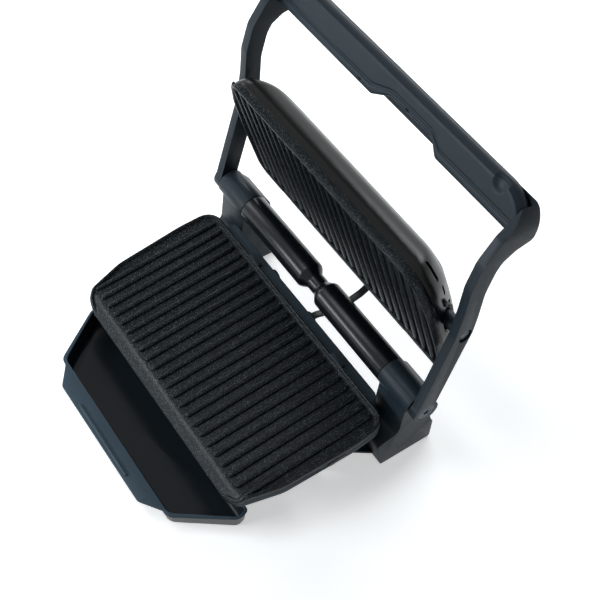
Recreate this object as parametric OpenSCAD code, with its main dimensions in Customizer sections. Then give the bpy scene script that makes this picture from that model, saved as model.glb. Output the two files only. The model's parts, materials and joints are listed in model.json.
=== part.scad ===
// Electric indoor contact grill, lid open.
// A heated base and a heated lid close on each other like a clam. The lid hangs between two
// arms that a handle joins, and it floats on a pivot half way along them, so that its plate
// lies parallel to the lower one. Fat runs over the front of the lower plate into a drip tray.
// X runs along the hinge, -Y is the front, +Z is up, and the table is at z = 0.

/* [Hinge] */
// Height of the hinge axis above the table
hinge_h = 128; // [124:1:134]
// How far the hinge axis lies behind the middle of the open grill
hinge_y = 116.5; // [108:0.5:124]
// Outer radius of the hinge barrel
barrel_r = 21; // [19:0.5:22]
// Radius of the barrel's waist
waist_r = 13.3; // [11:0.1:17]
// Length of the waist with its two shoulders
waist_len = 44; // [36:1:60]
// Radius of the steel shaft inside the barrel
shaft_r = 6; // [5:0.25:7]
// Wall of the bearing bushes
bush_wall = 3; // [2:0.25:4]
// Length of a bearing bush
bush_len = 24; // [16:1:30]
// Radial play between a shaft and its bearing
running_gap = 0.03; // [0.02:0.01:0.08]

/* [Legs] */
// Width of a leg along the hinge
leg_w = 55; // [48:1:58]
// Room between a leg and the arm beside it
leg_room = 8; // [7:0.5:12]
// Depth of a leg's foot
leg_foot = 88; // [80:1:94]
// Height of the top of the foot above the table
leg_shoulder = 57; // [52:1:60]
// Depth of a leg's neck
leg_neck = 45; // [42:1:50]
// Thickness of the rubber pads under the legs
pad_t = 2; // [1:0.5:4]

/* [Arms and handle] */
// Clear width between the two arms
arm_span = 456; // [440:1:470]
// Thickness of an arm
arm_t = 13; // [10:0.5:16]
// Lean of the open arms from the vertical, in degrees
open_lean = 14.75; // [10:0.25:18]
// Radius of an arm's round end at the hinge
knuckle_r = 18.5; // [17:0.5:20]
// Radius of the round cap on the hinge axis
cap_r = 13; // [11:0.5:14]
// Thickness of that cap
cap_t = 2.5; // [1.5:0.25:4]
// Distance from the hinge axis to the lid's pivot
pivot_u = 144.6; // [142:0.2:150]
// Radius of the pivot bolts
pivot_r = 5; // [4:0.25:6]
// Distance from the lid's pivot to the inner edge of the handle
handle_reach = 156.4; // [150:0.2:164]
// Depth of the handle from its inner to its outer edge
handle_d = 50; // [46:1:54]
// Thickness of the handle
handle_t = 32; // [29:1:35]
// Thickness of the handle's top cover
cover_t = 11; // [9:0.5:13]
// Radius of the handle's outer corners seen from above
handle_corner = 48; // [40:1:52]
// Wall of the handle's two shells
handle_wall = 3; // [2:0.25:4]
// Depth of the finger recess in the handle's inner edge
finger_d = 18; // [12:1:20]

/* [Plates] */
// Room between a cooking plate and the arm beside it
plate_room = 12; // [10:0.5:15]
// Tilt of the cooking surface towards the front, in degrees
tilt = 6; // [4:0.5:7]
// Height of a cooking rib
rib_h = 4.5; // [3:0.25:5.5]
// Width of a cooking rib at its foot
rib_w = 7; // [5:0.25:9]
// Spacing of the cooking ribs
rib_pitch = 17.5; // [15:0.5:22]
// Thickness of a cooking plate's floor
plate_t = 4; // [3:0.25:5]
// Width of the rim round a plate
rim_w = 4; // [3:0.25:6]
// Height of the upper plate's skirt band
skirt_h = 12.6; // [10.6:0.2:14]

/* [Lid] */
// Length of the lid in front of its pivot
lid_front = 105; // [100:1:110]
// Length of the lid behind its pivot
lid_back = 117; // [112:1:118]
// Height of the lid above the lower edge of its plate
lid_h = 57; // [52:1:62]
// Height of the pivot above the lower edge of the lid's plate
pivot_n = 29; // [27:0.5:31]
// Forward lean of the open lid from the vertical, in degrees
lid_lean = 16.86; // [12:0.2:19]
// Wall of the lid housing
lid_wall = 3; // [2.5:0.25:4]

/* [Base] */
// Wall of the base housing
base_wall = 3; // [2:0.25:4]
// Height of the base housing's upright side wall
side_h = 14; // [11:0.5:17]
// Height of the base's flat bottom above the table
pan_z = 18; // [16:0.5:22]
// How far the base's flat bottom lies inside the plate's outline
belly_in = 52; // [48:1:58]
// Thickness of the bottom pan
pan_t = 2.5; // [1.5:0.25:3]
// Radius of the round front feet
foot_r = 13; // [10:0.5:16]

/* [Drip tray] */
// How much narrower than a cooking plate the tray is, on each side
tray_inset = 18; // [12:1:26]
// Height of the tray's rim above the table
tray_rim = 30; // [26:1:32]
// Wall of the tray
tray_wall = 2.5; // [2:0.25:4]

/* [Controls] */
// Room between the last key and the end of the panel
panel_end = 16; // [14:0.5:26]
// Depth of the control panel
panel_d = 26; // [25:0.5:28]
// Radius of a programme key
key_r = 6; // [5:0.25:7]
// Spacing of the programme keys
key_pitch = 20; // [17:0.5:22]
// Radius of the round start button
start_r = 8; // [7:0.25:8.5]
// Play between a key and its hole
key_gap = 0.4; // [0.3:0.05:0.6]
// How far the keys stand proud of the panel
key_proud = 1.2; // [1:0.1:2]

/* [Hidden] */
$fn = 64;
eps = 0.01;
both = [-1, 1];
move_gap = 0.4;                         // least gap between pieces that move apart

// Places along the hinge
arm_in = arm_span / 2;
arm_out = arm_in + arm_t;
leg_out = arm_in - leg_room;
barrel_half = leg_out - leg_w;
sleeve_out = arm_in - 2;
plate_half = arm_in - plate_room;
tray_half = plate_half - tray_inset;
barrel_wall = 3;
bush_r = shaft_r + running_gap + bush_wall;
spigot_r = bush_r + 3;
spigot_len = 10;

// Places in the lower plate's frame, whose origin is the hinge axis
rim_z = -23.8;
floor_top = rim_z - 1 - rib_h;
floor_z = floor_top - plate_t;
rim_rear = -40.5;
rim_front = -267;
apron_y = -250;
lip_z = rim_z - 21.5;
shell_top = floor_z;
shell_low = shell_top - side_h;
side_front = -200;                      // the plate's side is widest between these two
side_rear = -95;
ledge_y = -27;
ledge_d = 25.5;
ledge_top = rim_z - 3.5;
ledge_low = shell_low - 4;

// Places in the lid's frame, whose origin is the pivot
skirt_low = -pivot_n;
skirt_top = skirt_low + skirt_h;
lid_top = lid_h - pivot_n;
ceiling_z = skirt_low + 1 + rib_h;
frame_z = skirt_top + 8;
frame_t = 3;
side_ahead = 45;                        // the lid's side is widest between these two
side_behind = 30;
heater_ahead = 60;
heater_behind = 70;

// Places in the arm's frame: -Y is along the arm, +Z is up when the lid is shut
handle_u = pivot_u + handle_reach;
handle_out = handle_u + handle_d;
cover_z = handle_t - cover_t;
panel_len = 2 * (4.8 * key_pitch + key_r + panel_end);
panel_y = -(handle_u + 6 + panel_d / 2);
panel_t = 1.5;
board_z = cover_z;
board_t = 1.6;
far = 250;                              // beyond the part's ends, for cutting

// ---------------------------------------------------------------- shapes
function unit(v) = v / norm(v);
function arc_points(c, r, a0, a1, n) =
    [for (i = [0:n]) c + r * [cos(a0 + (a1 - a0) * i / n), sin(a0 + (a1 - a0) * i / n)]];
function turn(a) = a > 180 ? a - 360 : a < -180 ? a + 360 : a;
// One corner p of an outline, between p0 and p2, rounded to the radius p[2]
function round_corner(p0, p, p2, n) =
    let (c = [p[0], p[1]],
         a = unit([p0[0], p0[1]] - c),
         b = unit([p2[0], p2[1]] - c),
         half = acos(a * b) / 2,
         t = p[2] / tan(half),
         m = c + unit(a + b) * p[2] / sin(half),
         q0 = c + a * t - m,
         q1 = c + b * t - m,
         a0 = atan2(q0[1], q0[0]),
         a1 = atan2(q1[1], q1[0]))
    p[2] == 0 ? [c] : arc_points(m, p[2], a0, a0 + turn(a1 - a0), n);
// An outline of [x, y, radius] corners, each rounded
function round_poly(pts, n = 6) =
    let (m = len(pts))
    [for (i = [0:m - 1]) each round_corner(pts[(i + m - 1) % m], pts[i], pts[(i + 1) % m], n)];
// The same outline on both sides of x = 0, from the points of its right half
function both_sides(pts) =
    concat(pts, [for (i = [len(pts) - 1:-1:0]) [-pts[i][0], pts[i][1], pts[i][2]]]);

// A (y, z) outline extruded along X from x0 to x1
module along_x(x0, x1) translate([x0, 0, 0]) rotate([90, 0, 90]) linear_extrude(x1 - x0) children();
// A round bar along X from x0 to x1
module rod_x(r, x0, x1, r1 = 0)
    translate([x0, 0, 0]) rotate([0, 90, 0]) cylinder(r1 = r, r2 = r1 > 0 ? r1 : r, h = x1 - x0);
// A thin slab of an outline at height z, as one section of a hull
module section(z) translate([0, 0, z]) linear_extrude(eps) children();
module slab(z0, z1) translate([0, 0, z0]) linear_extrude(z1 - z0) children();
// An outline drawn in by d
module draw_in(d) {
    if (d == 0) children();
    else offset(delta = -d) children();
}
// A flat slot with round ends, along X
module slot(l, w) hull() for (s = both) translate([s * (l - w) / 2, 0]) circle(d = w, $fn = 24);
module at_hinge() translate([0, hinge_y, hinge_h]) children();
module in_plate() at_hinge() rotate([tilt, 0, 0]) children();
module in_arm() at_hinge() rotate([-90 - open_lean, 0, 0]) children();
module in_lid() in_arm() translate([0, -pivot_u, 0]) rotate([open_lean + lid_lean, 0, 0]) children();

// ---------------------------------------------------------------- base
// The plan of the lower plate's rim, drawn in by d
module rim_plan(d = 0) draw_in(d) polygon(round_poly(both_sides([
    [plate_half - 44, rim_front, 20], [plate_half - 22, rim_front + 6, 18], [plate_half - 5, side_front, 80],
    [plate_half, side_rear, 110], [plate_half - 2.5, rim_rear, 24]])));
// The housing's outside, or its inside with the wall drawn in
module base_form(w) hull() {
    in_plate() {
        section(shell_top) rim_plan(1 + w);
        section(shell_low) rim_plan(1.5 + w);
        section(shell_low - 8) rim_plan(9 + w);
    }
    at_hinge() {
        section(pan_z - hinge_h + 8 + w) rim_plan(belly_in - 10 + w);
        section(pan_z - hinge_h + w) rim_plan(belly_in + w);
    }
}
// What lies above the housing's edge: the plate with its front apron
module above_shell() in_plate() along_x(-far, far) polygon([
    [30, shell_top], [apron_y, shell_top], apron_at(20, -plate_t), [rim_front - 20, 10], [30, 10]]);
// A point of the apron's slope, d in front of the lip and h above it
function apron_at(d, h) =
    [rim_front - d, lip_z + h - d * (floor_top - lip_z) / (apron_y - rim_front)];
function ledge_outline(d = 0) = round_poly(both_sides([
    [plate_half - 40 - d, ledge_y - ledge_d, 0], [plate_half - 40 - d, ledge_y - d, 9]]));
gland_x = 18;
gland_z = -36;
gland_len = 12;
fit_gap = 0.15;                         // play of a gland in its hole
module base_shell() color("#26292b") difference() {
    union() {
        difference() {
            base_form(0);
            above_shell();
        }
        in_plate() slab(ledge_low, ledge_top) polygon(ledge_outline());
    }
    base_form(base_wall);
    in_plate() slab(shell_top, ledge_top + 1) rim_plan(-0.3);
    at_hinge() slab(pan_z - hinge_h - 1, pan_z - hinge_h + 5) rim_plan(belly_in + 14);
    // openings for the link cable, the mains lead and the release button
    in_plate() translate([gland_x, ledge_y - 40, gland_z]) rotate([-90, 0, 0])
        cylinder(r = gland_r + fit_gap, h = 50);
    in_plate() translate([inlet_x, ledge_y - 40, gland_z]) rotate([-90, 0, 0])
        cylinder(r = inlet_r + fit_gap, h = 50);
    in_plate() release_hole();
}
module base_pan() color("#3a3d3f") at_hinge() difference() {
    slab(pan_z - pan_t - hinge_h, pan_z - hinge_h) rim_plan(belly_in + 5);
    for (i = [-vents:vents]) translate([i * vent_pitch, vent_y, pan_z - hinge_h - pan_t - 1])
        linear_extrude(pan_t + 2) rotate(90) slot(vent_l, vent_w);
}
vents = 5;                              // slots on each side of the middle one
vent_pitch = 20;
vent_y = -130;
vent_l = 34;
vent_w = 5;

// A leg's side view in (y, z) from the hinge axis
leg_front = -(leg_foot / 2 - 1);
leg_rear = leg_front + leg_foot;
neck_front = -15;
neck_rear = neck_front + leg_neck;
module leg_side() polygon(round_poly([
    [leg_front, pad_t - hinge_h, 5],
    [leg_front - 10, leg_shoulder - hinge_h, 8],
    [neck_front - 5, leg_shoulder + 7 - hinge_h, 12],
    [neck_front, 0, 0],
    [neck_front + 8, 10, 6],
    [neck_rear - 14, 12, 8],
    [neck_rear, -6, 14],
    [neck_rear + 3, -70, 60],
    [leg_rear, -96, 22],
    [leg_rear, pad_t - hinge_h, 5]]));
module leg(s) color("#2c3136") at_hinge() mirror([s < 0 ? 1 : 0, 0, 0]) difference() {
    union() {
        intersection() {
            along_x(barrel_half, leg_out) leg_side();
            slab(-hinge_h, barrel_r + 5) polygon(round_poly([
                [barrel_half, leg_front - 20, 5], [leg_out, leg_front - 20, 9],
                [leg_out, leg_rear + 2, 9], [barrel_half, leg_rear + 2, 5]]));
        }
        rod_x(barrel_r, barrel_half, sleeve_out, barrel_r - 1.2);
        rod_x(spigot_r, barrel_half - spigot_len, barrel_half + 1);
        // ear that carries the base, under its pan
        slab(pan_z - pan_t - ear_h - hinge_h, pan_z - pan_t - hinge_h) polygon(round_poly([
            [ear_in, ear_y, 8], [ear_in + 28, ear_y, 8], [leg_out - 12, leg_front + 2, 0],
            [barrel_half + 4, leg_front + 2, 0]]));
    }
    rod_x(shaft_r + 1, barrel_half - spigot_len - 1, sleeve_out + 1);
    rod_x(bush_r, sleeve_out - bush_len, sleeve_out + 1);
}
ear_in = barrel_half - 35;
ear_y = -112;
ear_h = 4;
module leg_left() leg(-1);
module leg_right() leg(1);

// The barrel's outline from its left end to its right, as (radius, place) points
module hinge_barrel() color("#33383c") at_hinge() rotate([0, 90, 0]) rotate_extrude($fn = 96) {
    sh = waist_len / 2;
    flat = sh * 0.3;
    end = barrel_half - 0.3;
    bore = waist_r - barrel_wall;
    polygon(concat(
        [[bore, -end + spigot_len + 1], [spigot_r, -end + spigot_len + 1], [spigot_r, -end],
         [barrel_r - 0.8, -end], [barrel_r, -end + 0.8]],
        [for (i = [0:8]) shoulder_point(-sh, -flat, i / 8)],
        [for (i = [8:-1:0]) shoulder_point(sh, flat, i / 8)],
        [[barrel_r, end - 0.8], [barrel_r - 0.8, end], [spigot_r, end],
         [spigot_r, end - spigot_len - 1], [bore, end - spigot_len - 1]]));
}
function shoulder_point(x0, x1, t) =
    [barrel_r + (waist_r - barrel_r) * (1 - cos(180 * t)) / 2, x0 + (x1 - x0) * t];
module hinge_bushes() color("#c9a35a") at_hinge() for (s = both) mirror([s < 0 ? 1 : 0, 0, 0])
    difference() {
        union() {
            rod_x(bush_r, sleeve_out - bush_len, sleeve_out);
            rod_x(bush_r + 3, sleeve_out, arm_in - move_gap);
        }
        rod_x(shaft_r + running_gap, sleeve_out - bush_len - 1, arm_in);
    }
module hinge_shaft() color("#b9bec2") at_hinge() rod_x(shaft_r, -(arm_out - cap_t), arm_out - cap_t);

// Ribs along the plate, from its rear rim to its front, with flat rounded crests
rib_count = floor((plate_half - rim_w - 14) / rib_pitch);
module ribs(y0, y1, z) for (i = [-rib_count:rib_count]) translate([i * rib_pitch, y0, z])
    rotate([90, 0, 0]) linear_extrude(y0 - y1) polygon([
        [-rib_w / 2, -1], [-rib_w / 2, 0], [-rib_w / 4, rib_h * 0.8], [-rib_w / 8, rib_h],
        [rib_w / 8, rib_h], [rib_w / 4, rib_h * 0.8], [rib_w / 2, 0], [rib_w / 2, -1]]);
module plate_lower() color("#3c4349") in_plate() {
    difference() {
        // the whole casting: its underside and its rim fall away at the front, as the apron
        intersection() {
            slab(-70, 0) rim_plan();
            along_x(-far, far) polygon([[rim_rear + 5, floor_z], [rim_rear + 5, rim_z],
                [apron_y + 4, rim_z], apron_at(5, 1.5), apron_at(5, -plate_t), [apron_y, floor_z]]);
        }
        // the tray of its floor, open between the front corners as a spout
        intersection() {
            slab(-71, 1) union() {
                rim_plan(rim_w);
                translate([-(plate_half - 44), rim_front - 10]) square([2 * plate_half - 88, 40]);
            }
            along_x(-far, far) polygon([[rim_rear + 5, floor_top], [rim_rear + 5, 5],
                [rim_front - 12, 5], apron_at(12, 0), [apron_y, floor_top]]);
        }
    }
    ribs(rim_rear - 9, apron_y + 1, floor_top);
}
element_r = 3.3;
// A tubular heater bent to a long loop below a plate, with its two ends at the right
module heater(z, y0, y1) {
    mid = (y0 + y1) / 2;
    bend = (y0 - y1) / 2;
    half = plate_half - 76;
    for (y = [y0, y1]) translate([0, y, z]) rod_x(element_r, -half, half, 0);
    translate([-half, mid, z]) rotate(90) rotate_extrude(angle = 180) translate([bend, 0]) circle(element_r);
    for (y = [y0, y1]) translate([0, y, z]) rod_x(terminal_r, half, half + 14);
}
terminal_r = 2.4;
module element_lower() color("#8c8f8a") in_plate() heater(floor_z - element_r, side_rear, side_front);
module reflector_lower() color("#aeb2b4") in_plate() difference() {
    slab(floor_z - 12, floor_z - 11) rim_plan(24);
    translate([sensor_x, sensor_y, 0]) slab(floor_z - 13, floor_z - 10) circle(sensor_r + 1);
}
sensor_x = 40;
sensor_y = (side_front + side_rear) / 2;
sensor_r = 5;
module sensor_lower() color("#c7c9c6") in_plate() translate([sensor_x, sensor_y, 0]) {
    slab(floor_z - 4, floor_z) circle(sensor_r);
    slab(floor_z - 18, floor_z - 4) circle(sensor_r - 2);
}
clip_x = 101;
clip_w = 24;
clip_t = 1.8;
// Hooks behind the plate that hold down its rear rim
module clips_lower() color("#4a5055") in_plate() for (s = both)
    along_x(s * clip_x - clip_w / 2, s * clip_x + clip_w / 2) polygon(round_poly([
        [rim_rear + 4, ledge_top, 0], [rim_rear + 4, rim_z + clip_t, 1], [rim_rear - 2.5, rim_z + clip_t, 0.6],
        [rim_rear - 2.5, rim_z, 0], [rim_rear + 0.5, rim_z, 0], [rim_rear + 0.5, ledge_top, 0]], 3));
// The push button in the right side wall that frees the lower plate
release_y = -120;
release_l = 28;
release_w = 9;
release_in = 14;
release_z = shell_top - side_h / 2;
module release_section(d, l) rotate([90, 0, 90]) linear_extrude(l, convexity = 4)
    offset(delta = d) slot(release_l, release_w);
release_x = plate_half - release_in - 1;
module release_hole() translate([release_x - 1, release_y, release_z])
    release_section(key_gap, release_in + 1.5);
module release_lower() color("#1d1f21") in_plate() translate([release_x, release_y, release_z])
    release_section(0, release_in - 0.5);
pcb_x = -90;
pcb_y = -170;
pcb_z = pan_z + 6 - hinge_h;
pcb_w = 110;
pcb_d = 65;
standoff_in = 9;
relay_h = 12.4;
capacitor_h = 8.4;
module power_board() color("#2f6b3c") at_hinge() translate([pcb_x, pcb_y]) {
    slab(pcb_z, pcb_z + board_t) square([pcb_w, pcb_d]);
    for (x = [standoff_in, pcb_w - standoff_in], y = [standoff_in, pcb_d - standoff_in])
        translate([x, y]) slab(pan_z - hinge_h, pcb_z) circle(3);
    slab(pcb_z + board_t, pcb_z + board_t + relay_h) translate([pcb_w / 5, pcb_d / 3]) square([20, 25]);
    slab(pcb_z + board_t, pcb_z + board_t + capacitor_h) translate([pcb_w * 0.65, pcb_d / 2]) circle(6);
}
inlet_x = -70;
inlet_r = 6;
lead_r = 3.5;
// The gland of the mains lead, in the rear wall under the ledge
module mains_inlet() color("#1b1c1d") in_plate() translate([inlet_x, ledge_y - gland_len, gland_z])
    rotate([-90, 0, 0]) difference() {
        union() {
            cylinder(r = inlet_r, h = gland_len);
            translate([0, 0, gland_len]) cylinder(r = inlet_r + 2, h = 3);
        }
        translate([0, 0, -1]) cylinder(r = lead_r, h = gland_len + 5);
    }
gland_r = 8;
module cable_gland_base() color("#1b1c1d") in_plate() translate([gland_x, ledge_y - gland_len, gland_z])
    rotate([-90, 0, 0]) difference() {
        union() {
            cylinder(r = gland_r, h = gland_len);
            translate([0, 0, gland_len]) cylinder(r1 = gland_r + 2, r2 = gland_r + 0.5, h = 3);
        }
        translate([0, 0, -1]) linear_extrude(22) cable_slot(0.9);
    }
module feet_front() color("#151617") for (s = both) translate([s * foot_x, hinge_y + foot_y, 0])
    cylinder(r1 = foot_r - 1.5, r2 = foot_r, h = pan_z - pan_t);
foot_in = 78;
foot_x = plate_half - foot_in;
foot_y = -188;
module feet_rear() color("#151617") at_hinge() for (s = both) slab(-hinge_h, pad_t - hinge_h)
    polygon(round_poly([[s * (barrel_half + 8), leg_front + 6, 6], [s * (leg_out - 8), leg_front + 6, 6],
        [s * (leg_out - 8), leg_rear - 8, 6], [s * (barrel_half + 8), leg_rear - 8, 6]]));
module base_screws() color("#9a9ea1") at_hinge() for (s = both, p = [[14, 14], [36, 42]])
    translate([s * (ear_in + p[0]), ear_y + p[1], pan_z - pan_t - ear_h - 2 - hinge_h]) cylinder(r = 4, h = 2);

// The flat twin cable from the base to the lid: its route from the hinge axis
cable_route = [[18, -24.5, -38.8], [18, -18, -38.1], [18, -10, -39.5], [18, 2, -44.5],
    [18, 16, -49], [19, 30, -48], [21, 44, -42], [25, 56, -31], [29, 64, -17], [33, 69, -2], [35, 70, 12], [35, 67, 25]];
cable_w = 11;
cable_t = 5.5;
// Half of the cable's section: two round strands side by side
cable_section = [for (a = [-120:40:120]) [cable_w / 2 - cable_t / 2, 0] + cable_t / 2 * [cos(a), sin(a)]];
cable_ring = concat(cable_section, [for (p = cable_section) -p]);
function tangent(path, i) =
    unit(path[min(i + 1, len(path) - 1)] - path[max(i - 1, 0)]);
function ring_at(path, ring, i) =
    let (t = tangent(path, i), w = unit([1, 0, 0] - t[0] * t), h = cross(t, w))
    [for (q = ring) path[i] + w * q[0] + h * q[1]];
module sweep(path, ring) {
    n = len(ring);
    last = (len(path) - 1) * n;
    polyhedron([for (i = [0:len(path) - 1]) each ring_at(path, ring, i)], concat(
        [[for (j = [n - 1:-1:0]) j]],
        [for (i = [0:len(path) - 2], j = [0:n - 1]) each [
            [i * n + j, i * n + (j + 1) % n, (i + 1) * n + j],
            [i * n + (j + 1) % n, (i + 1) * n + (j + 1) % n, (i + 1) * n + j]]],
        [[for (j = [0:n - 1]) last + j]]), convexity = 6);
}
module link_cable() color("#17191a") at_hinge() sweep(cable_route, cable_ring);
module cable_slot(d) offset(delta = d) slot(cable_w, cable_t);
lid_gland_x = 35;
lid_gland_z = -4;
module cable_gland_lid() color("#1b1c1d") in_lid() translate([lid_gland_x, lid_back - 3 - 14, lid_gland_z])
    rotate([-90, 0, 0]) difference() {
        union() {
            cylinder(r = gland_r + 2, h = 14 + 3);
            translate([0, 0, 14]) cylinder(r1 = gland_r + 4, r2 = gland_r + 3, h = 5.5);
        }
        translate([0, 0, -1]) linear_extrude(22) cable_slot(0.9);
    }

// ---------------------------------------------------------------- arms and handle
// An arm's side view: u along it from the hinge, v up when the lid is shut
function along_arm(pts) = [for (p = pts) [-p[0], p[1], p[2]]];
module arm_side() polygon(round_poly(along_arm([
    [0, -16.5, 0], [pivot_u, -16.5, 60], [reach(0.29), -23, 80], [reach(0.546), -31.6, 40],
    [reach(0.795), -31.6, 30],
    [handle_u + 3, -19, 22], [handle_out - 16, 4, 14], [handle_out - 2, 14, 8],
    [handle_out - 14, handle_t, 10], [handle_u - 7, handle_t + 2, 8], [handle_u - 18, 12, 10],
    [reach(0.795), -1.5, 12], [reach(0.706), -5, 20], [reach(0.482), -4.5, 60], [reach(0.226), 4.5, 60],
    [reach(0.035), 10, 60], [0, 10, 0]]), 8));
// A place between the lid's pivot and the handle, as a share of the way
function reach(share) = pivot_u + share * handle_reach;
// The outline of the arms and handle seen from above
module handle_plan(d = 0) polygon(round_poly(both_sides([
    [arm_out - d, 40, 0], [arm_out - d, -handle_out - 1 + d, handle_corner - d]]), 16));
module arm(s) color("#2b3035") in_arm() mirror([s < 0 ? 1 : 0, 0, 0]) difference() {
    intersection() {
        union() {
            along_x(arm_in, arm_out) arm_side();
            rod_x(knuckle_r, arm_in, arm_out);
        }
        slab(-2 * handle_t, 2 * handle_t) handle_plan();
    }
    rod_x(shaft_r, arm_in - 1, arm_out + 1);
    rod_x(cap_r, arm_out - cap_t, arm_out + 1);
    translate([0, -pivot_u, 0]) rod_x(pivot_r, arm_in - 1, arm_out + 1);
    translate([arm_out - pivot_pocket, -pivot_u, 0]) rotate([90, 0, 90]) linear_extrude(10) slot(22, 17);
}
pivot_pocket = 5;
module arm_left() arm(-1);
module arm_right() arm(1);
module pivot_caps() color("#b4b8bb") at_hinge() for (s = both) mirror([s < 0 ? 1 : 0, 0, 0])
    rod_x(cap_r, arm_out - cap_t, arm_out);
boss_in = plate_half - 26;
module pivot_bolts() color("#a5a9ad") in_arm() translate([0, -pivot_u, 0]) for (s = both)
    mirror([s < 0 ? 1 : 0, 0, 0]) {
        rod_x(pivot_r, boss_in, arm_out - pivot_pocket);
        rod_x(7.5, arm_out - pivot_pocket, arm_out - pivot_pocket + 3);
    }

// The handle bar's section, drawn in by d
module bar_side(d) polygon(round_poly(along_arm([
    [handle_u + d, d, 4], [handle_out - 6 - d, 3 + d, max(7 - d, 2)], [handle_out + 1 - d, 13, max(10 - d, 3)],
    [handle_out - 14 - d, handle_t - d, max(10 - d, 3)], [handle_u + d, handle_t - d, 5]]), 5));
module bar(d) intersection() {
    along_x(-arm_in + d, arm_in - d) bar_side(d);
    slab(-1, handle_t + 1) handle_plan(d);
}
recess_x0 = -36;
recess_x1 = 97;
// The room for the fingers: the handle's inner edge steps back below the cover
module finger_recess() slab(-1, cover_z - handle_wall) polygon(round_poly([
    [recess_x0, -handle_u + 5, 0], [recess_x0 + 5, -handle_u - 1, 4],
    [recess_x0 + 36, -handle_u - finger_d, 20], [recess_x1 - 18, -handle_u - finger_d, 14],
    [recess_x1 - 2, -handle_u - 1, 4], [recess_x1, -handle_u + 5, 0]]));
module handle_lower() color("#30363b") in_arm() difference() {
    bar(0);
    slab(cover_z, handle_t + 1) square(4 * far, center = true);
    finger_recess();
    intersection() {
        bar(handle_wall);
        translate([-arm_in, -handle_out - 10]) slab(0, handle_t)
            square([arm_span, handle_d + 10 - finger_d - handle_wall]);
    }
    handle_screw_shanks();
}
module handle_cover() color("#22262a") in_arm() difference() {
    bar(0);
    slab(-1, cover_z) square(4 * far, center = true);
    difference() {
        bar(handle_wall);
        slab(-1, cover_z - 1) square(4 * far, center = true);
    }
    translate([0, panel_y]) {
        slab(handle_t - panel_t, handle_t + 1) slot(panel_len, panel_d);
        key_holes(0, handle_t + 1, key_gap);
    }
    handle_screw_shanks();
    handle_screw_heads();
}
// Places of the keys along the panel, left to right, with the start button in the middle
function key_x(i) = i < 3 ? -(4.8 - i) * key_pitch : (i - 0.2) * key_pitch;
module key_holes(z0, z1, d) {
    for (i = [0:5]) translate([key_x(i), 0]) slab(z0, z1) circle(key_r + d);
    slab(z0, z1) circle(ring_r);
}
ring_r = start_r + key_gap + 3;
module control_panel() color("#0c0d0e") in_arm() translate([0, panel_y]) difference() {
    slab(handle_t - panel_t, handle_t) slot(panel_len, panel_d);
    key_holes(handle_t - panel_t - 1, handle_t + 1, key_gap);
}
module indicator_ring() color("#d8dadb") in_arm() translate([0, panel_y]) difference() {
    slab(board_z + board_t, handle_t + 0.3) circle(ring_r);
    slab(board_z, handle_t + 1) circle(start_r + key_gap);
}
module control_board() color("#2f6b3c") in_arm() translate([-panel_len / 2 + 10, panel_y - 10])
    slab(board_z, board_z + board_t) square([panel_len - 20, 20]);
key_low = board_z + board_t + 1.8;
module key(i) color("#5b6166") in_arm() translate([key_x(i), panel_y]) {
    slab(key_low, handle_t + key_proud - 0.6) circle(key_r);
    translate([0, 0, handle_t + key_proud - 0.6]) cylinder(r1 = key_r, r2 = key_r - 0.8, h = 0.6);
}
module power_key() key(0);
module thaw_key() key(1);
module poultry_key() key(2);
module fish_key() key(3);
module steak_key() key(4);
module manual_key() key(5);
module start_button() color("#8d9398") in_arm() translate([0, panel_y]) {
    slab(key_low, handle_t + key_proud - 0.6) circle(start_r);
    translate([0, 0, handle_t + key_proud - 0.6]) cylinder(r1 = start_r, r2 = start_r - 1, h = 0.6);
}
// The two screws under the ends of the control panel, which join the handle's shells
screw_x = panel_len / 2 - 5.5;
shank_r = 1.6;
head_h = 1.5;
module handle_screw_shanks() for (x = [-screw_x, screw_x]) translate([x, panel_y, 0])
    slab(cover_z - 9, handle_t - panel_t - head_h) circle(shank_r);
module handle_screw_heads() for (x = [-screw_x, screw_x]) translate([x, panel_y, 0])
    slab(handle_t - panel_t - head_h, handle_t - panel_t) circle(2 * shank_r);
module handle_screws() color("#9a9ea1") in_arm() {
    handle_screw_shanks();
    handle_screw_heads();
}

// ---------------------------------------------------------------- lid
// The plan of the lid, drawn in by d, and cut off by more at its back
module lid_plan(d = 0, back = 0) intersection() {
    draw_in(d) polygon(round_poly(both_sides([
        [plate_half - 25, -lid_front, 26], [plate_half - 5, -side_ahead, 60], [plate_half, side_behind, 60],
        [plate_half - 4, lid_back, 18]])));
    translate([-plate_half, -lid_front]) square([2 * plate_half, lid_front + lid_back - d - back]);
}
module lid_form(w) hull() {
    section(skirt_top) lid_plan(3 + w);
    section(skirt_top + 9.5) lid_plan(5 + w);
    section(skirt_top + 18.5) lid_plan(10 + w);
    section(lid_top - 17 - w) lid_plan(17 + w, 4);
    section(lid_top - 9 - w) lid_plan(26 + w, 18);
    section(lid_top - 4 - w) lid_plan(36 + w, 38);
    section(lid_top - w) lid_plan(48 + w, 68);
}
pocket_front = -16;
pocket_back = 30;
module lid_shell() color("#0f1213") in_lid() difference() {
    lid_form(0);
    lid_form(lid_wall);
    for (s = both) mirror([s < 0 ? 1 : 0, 0, 0]) {
        // the opening round the pivot
        along_x(plate_half - 30, plate_half + 5) polygon(round_poly([
            [pocket_front, -10, 6], [pocket_back, -10, 10], [pocket_back, 15, 12], [pocket_front, 15, 10]]));
        // two vents towards the front
        along_x(plate_half - 40, plate_half + 5) translate([-82, 4]) slot(25, 4);
        along_x(plate_half - 40, plate_half + 5) translate([-48, 7]) slot(19, 3.4);
    }
    lid_release_hole();
    translate([lid_gland_x, lid_back - 30, lid_gland_z]) rotate([-90, 0, 0]) cylinder(r = gland_r + 2, h = 40);
}
lid_release_y = -30;
lid_release_l = 15;
lid_release_w = 5;
lid_release_x = plate_half - 28;
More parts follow.
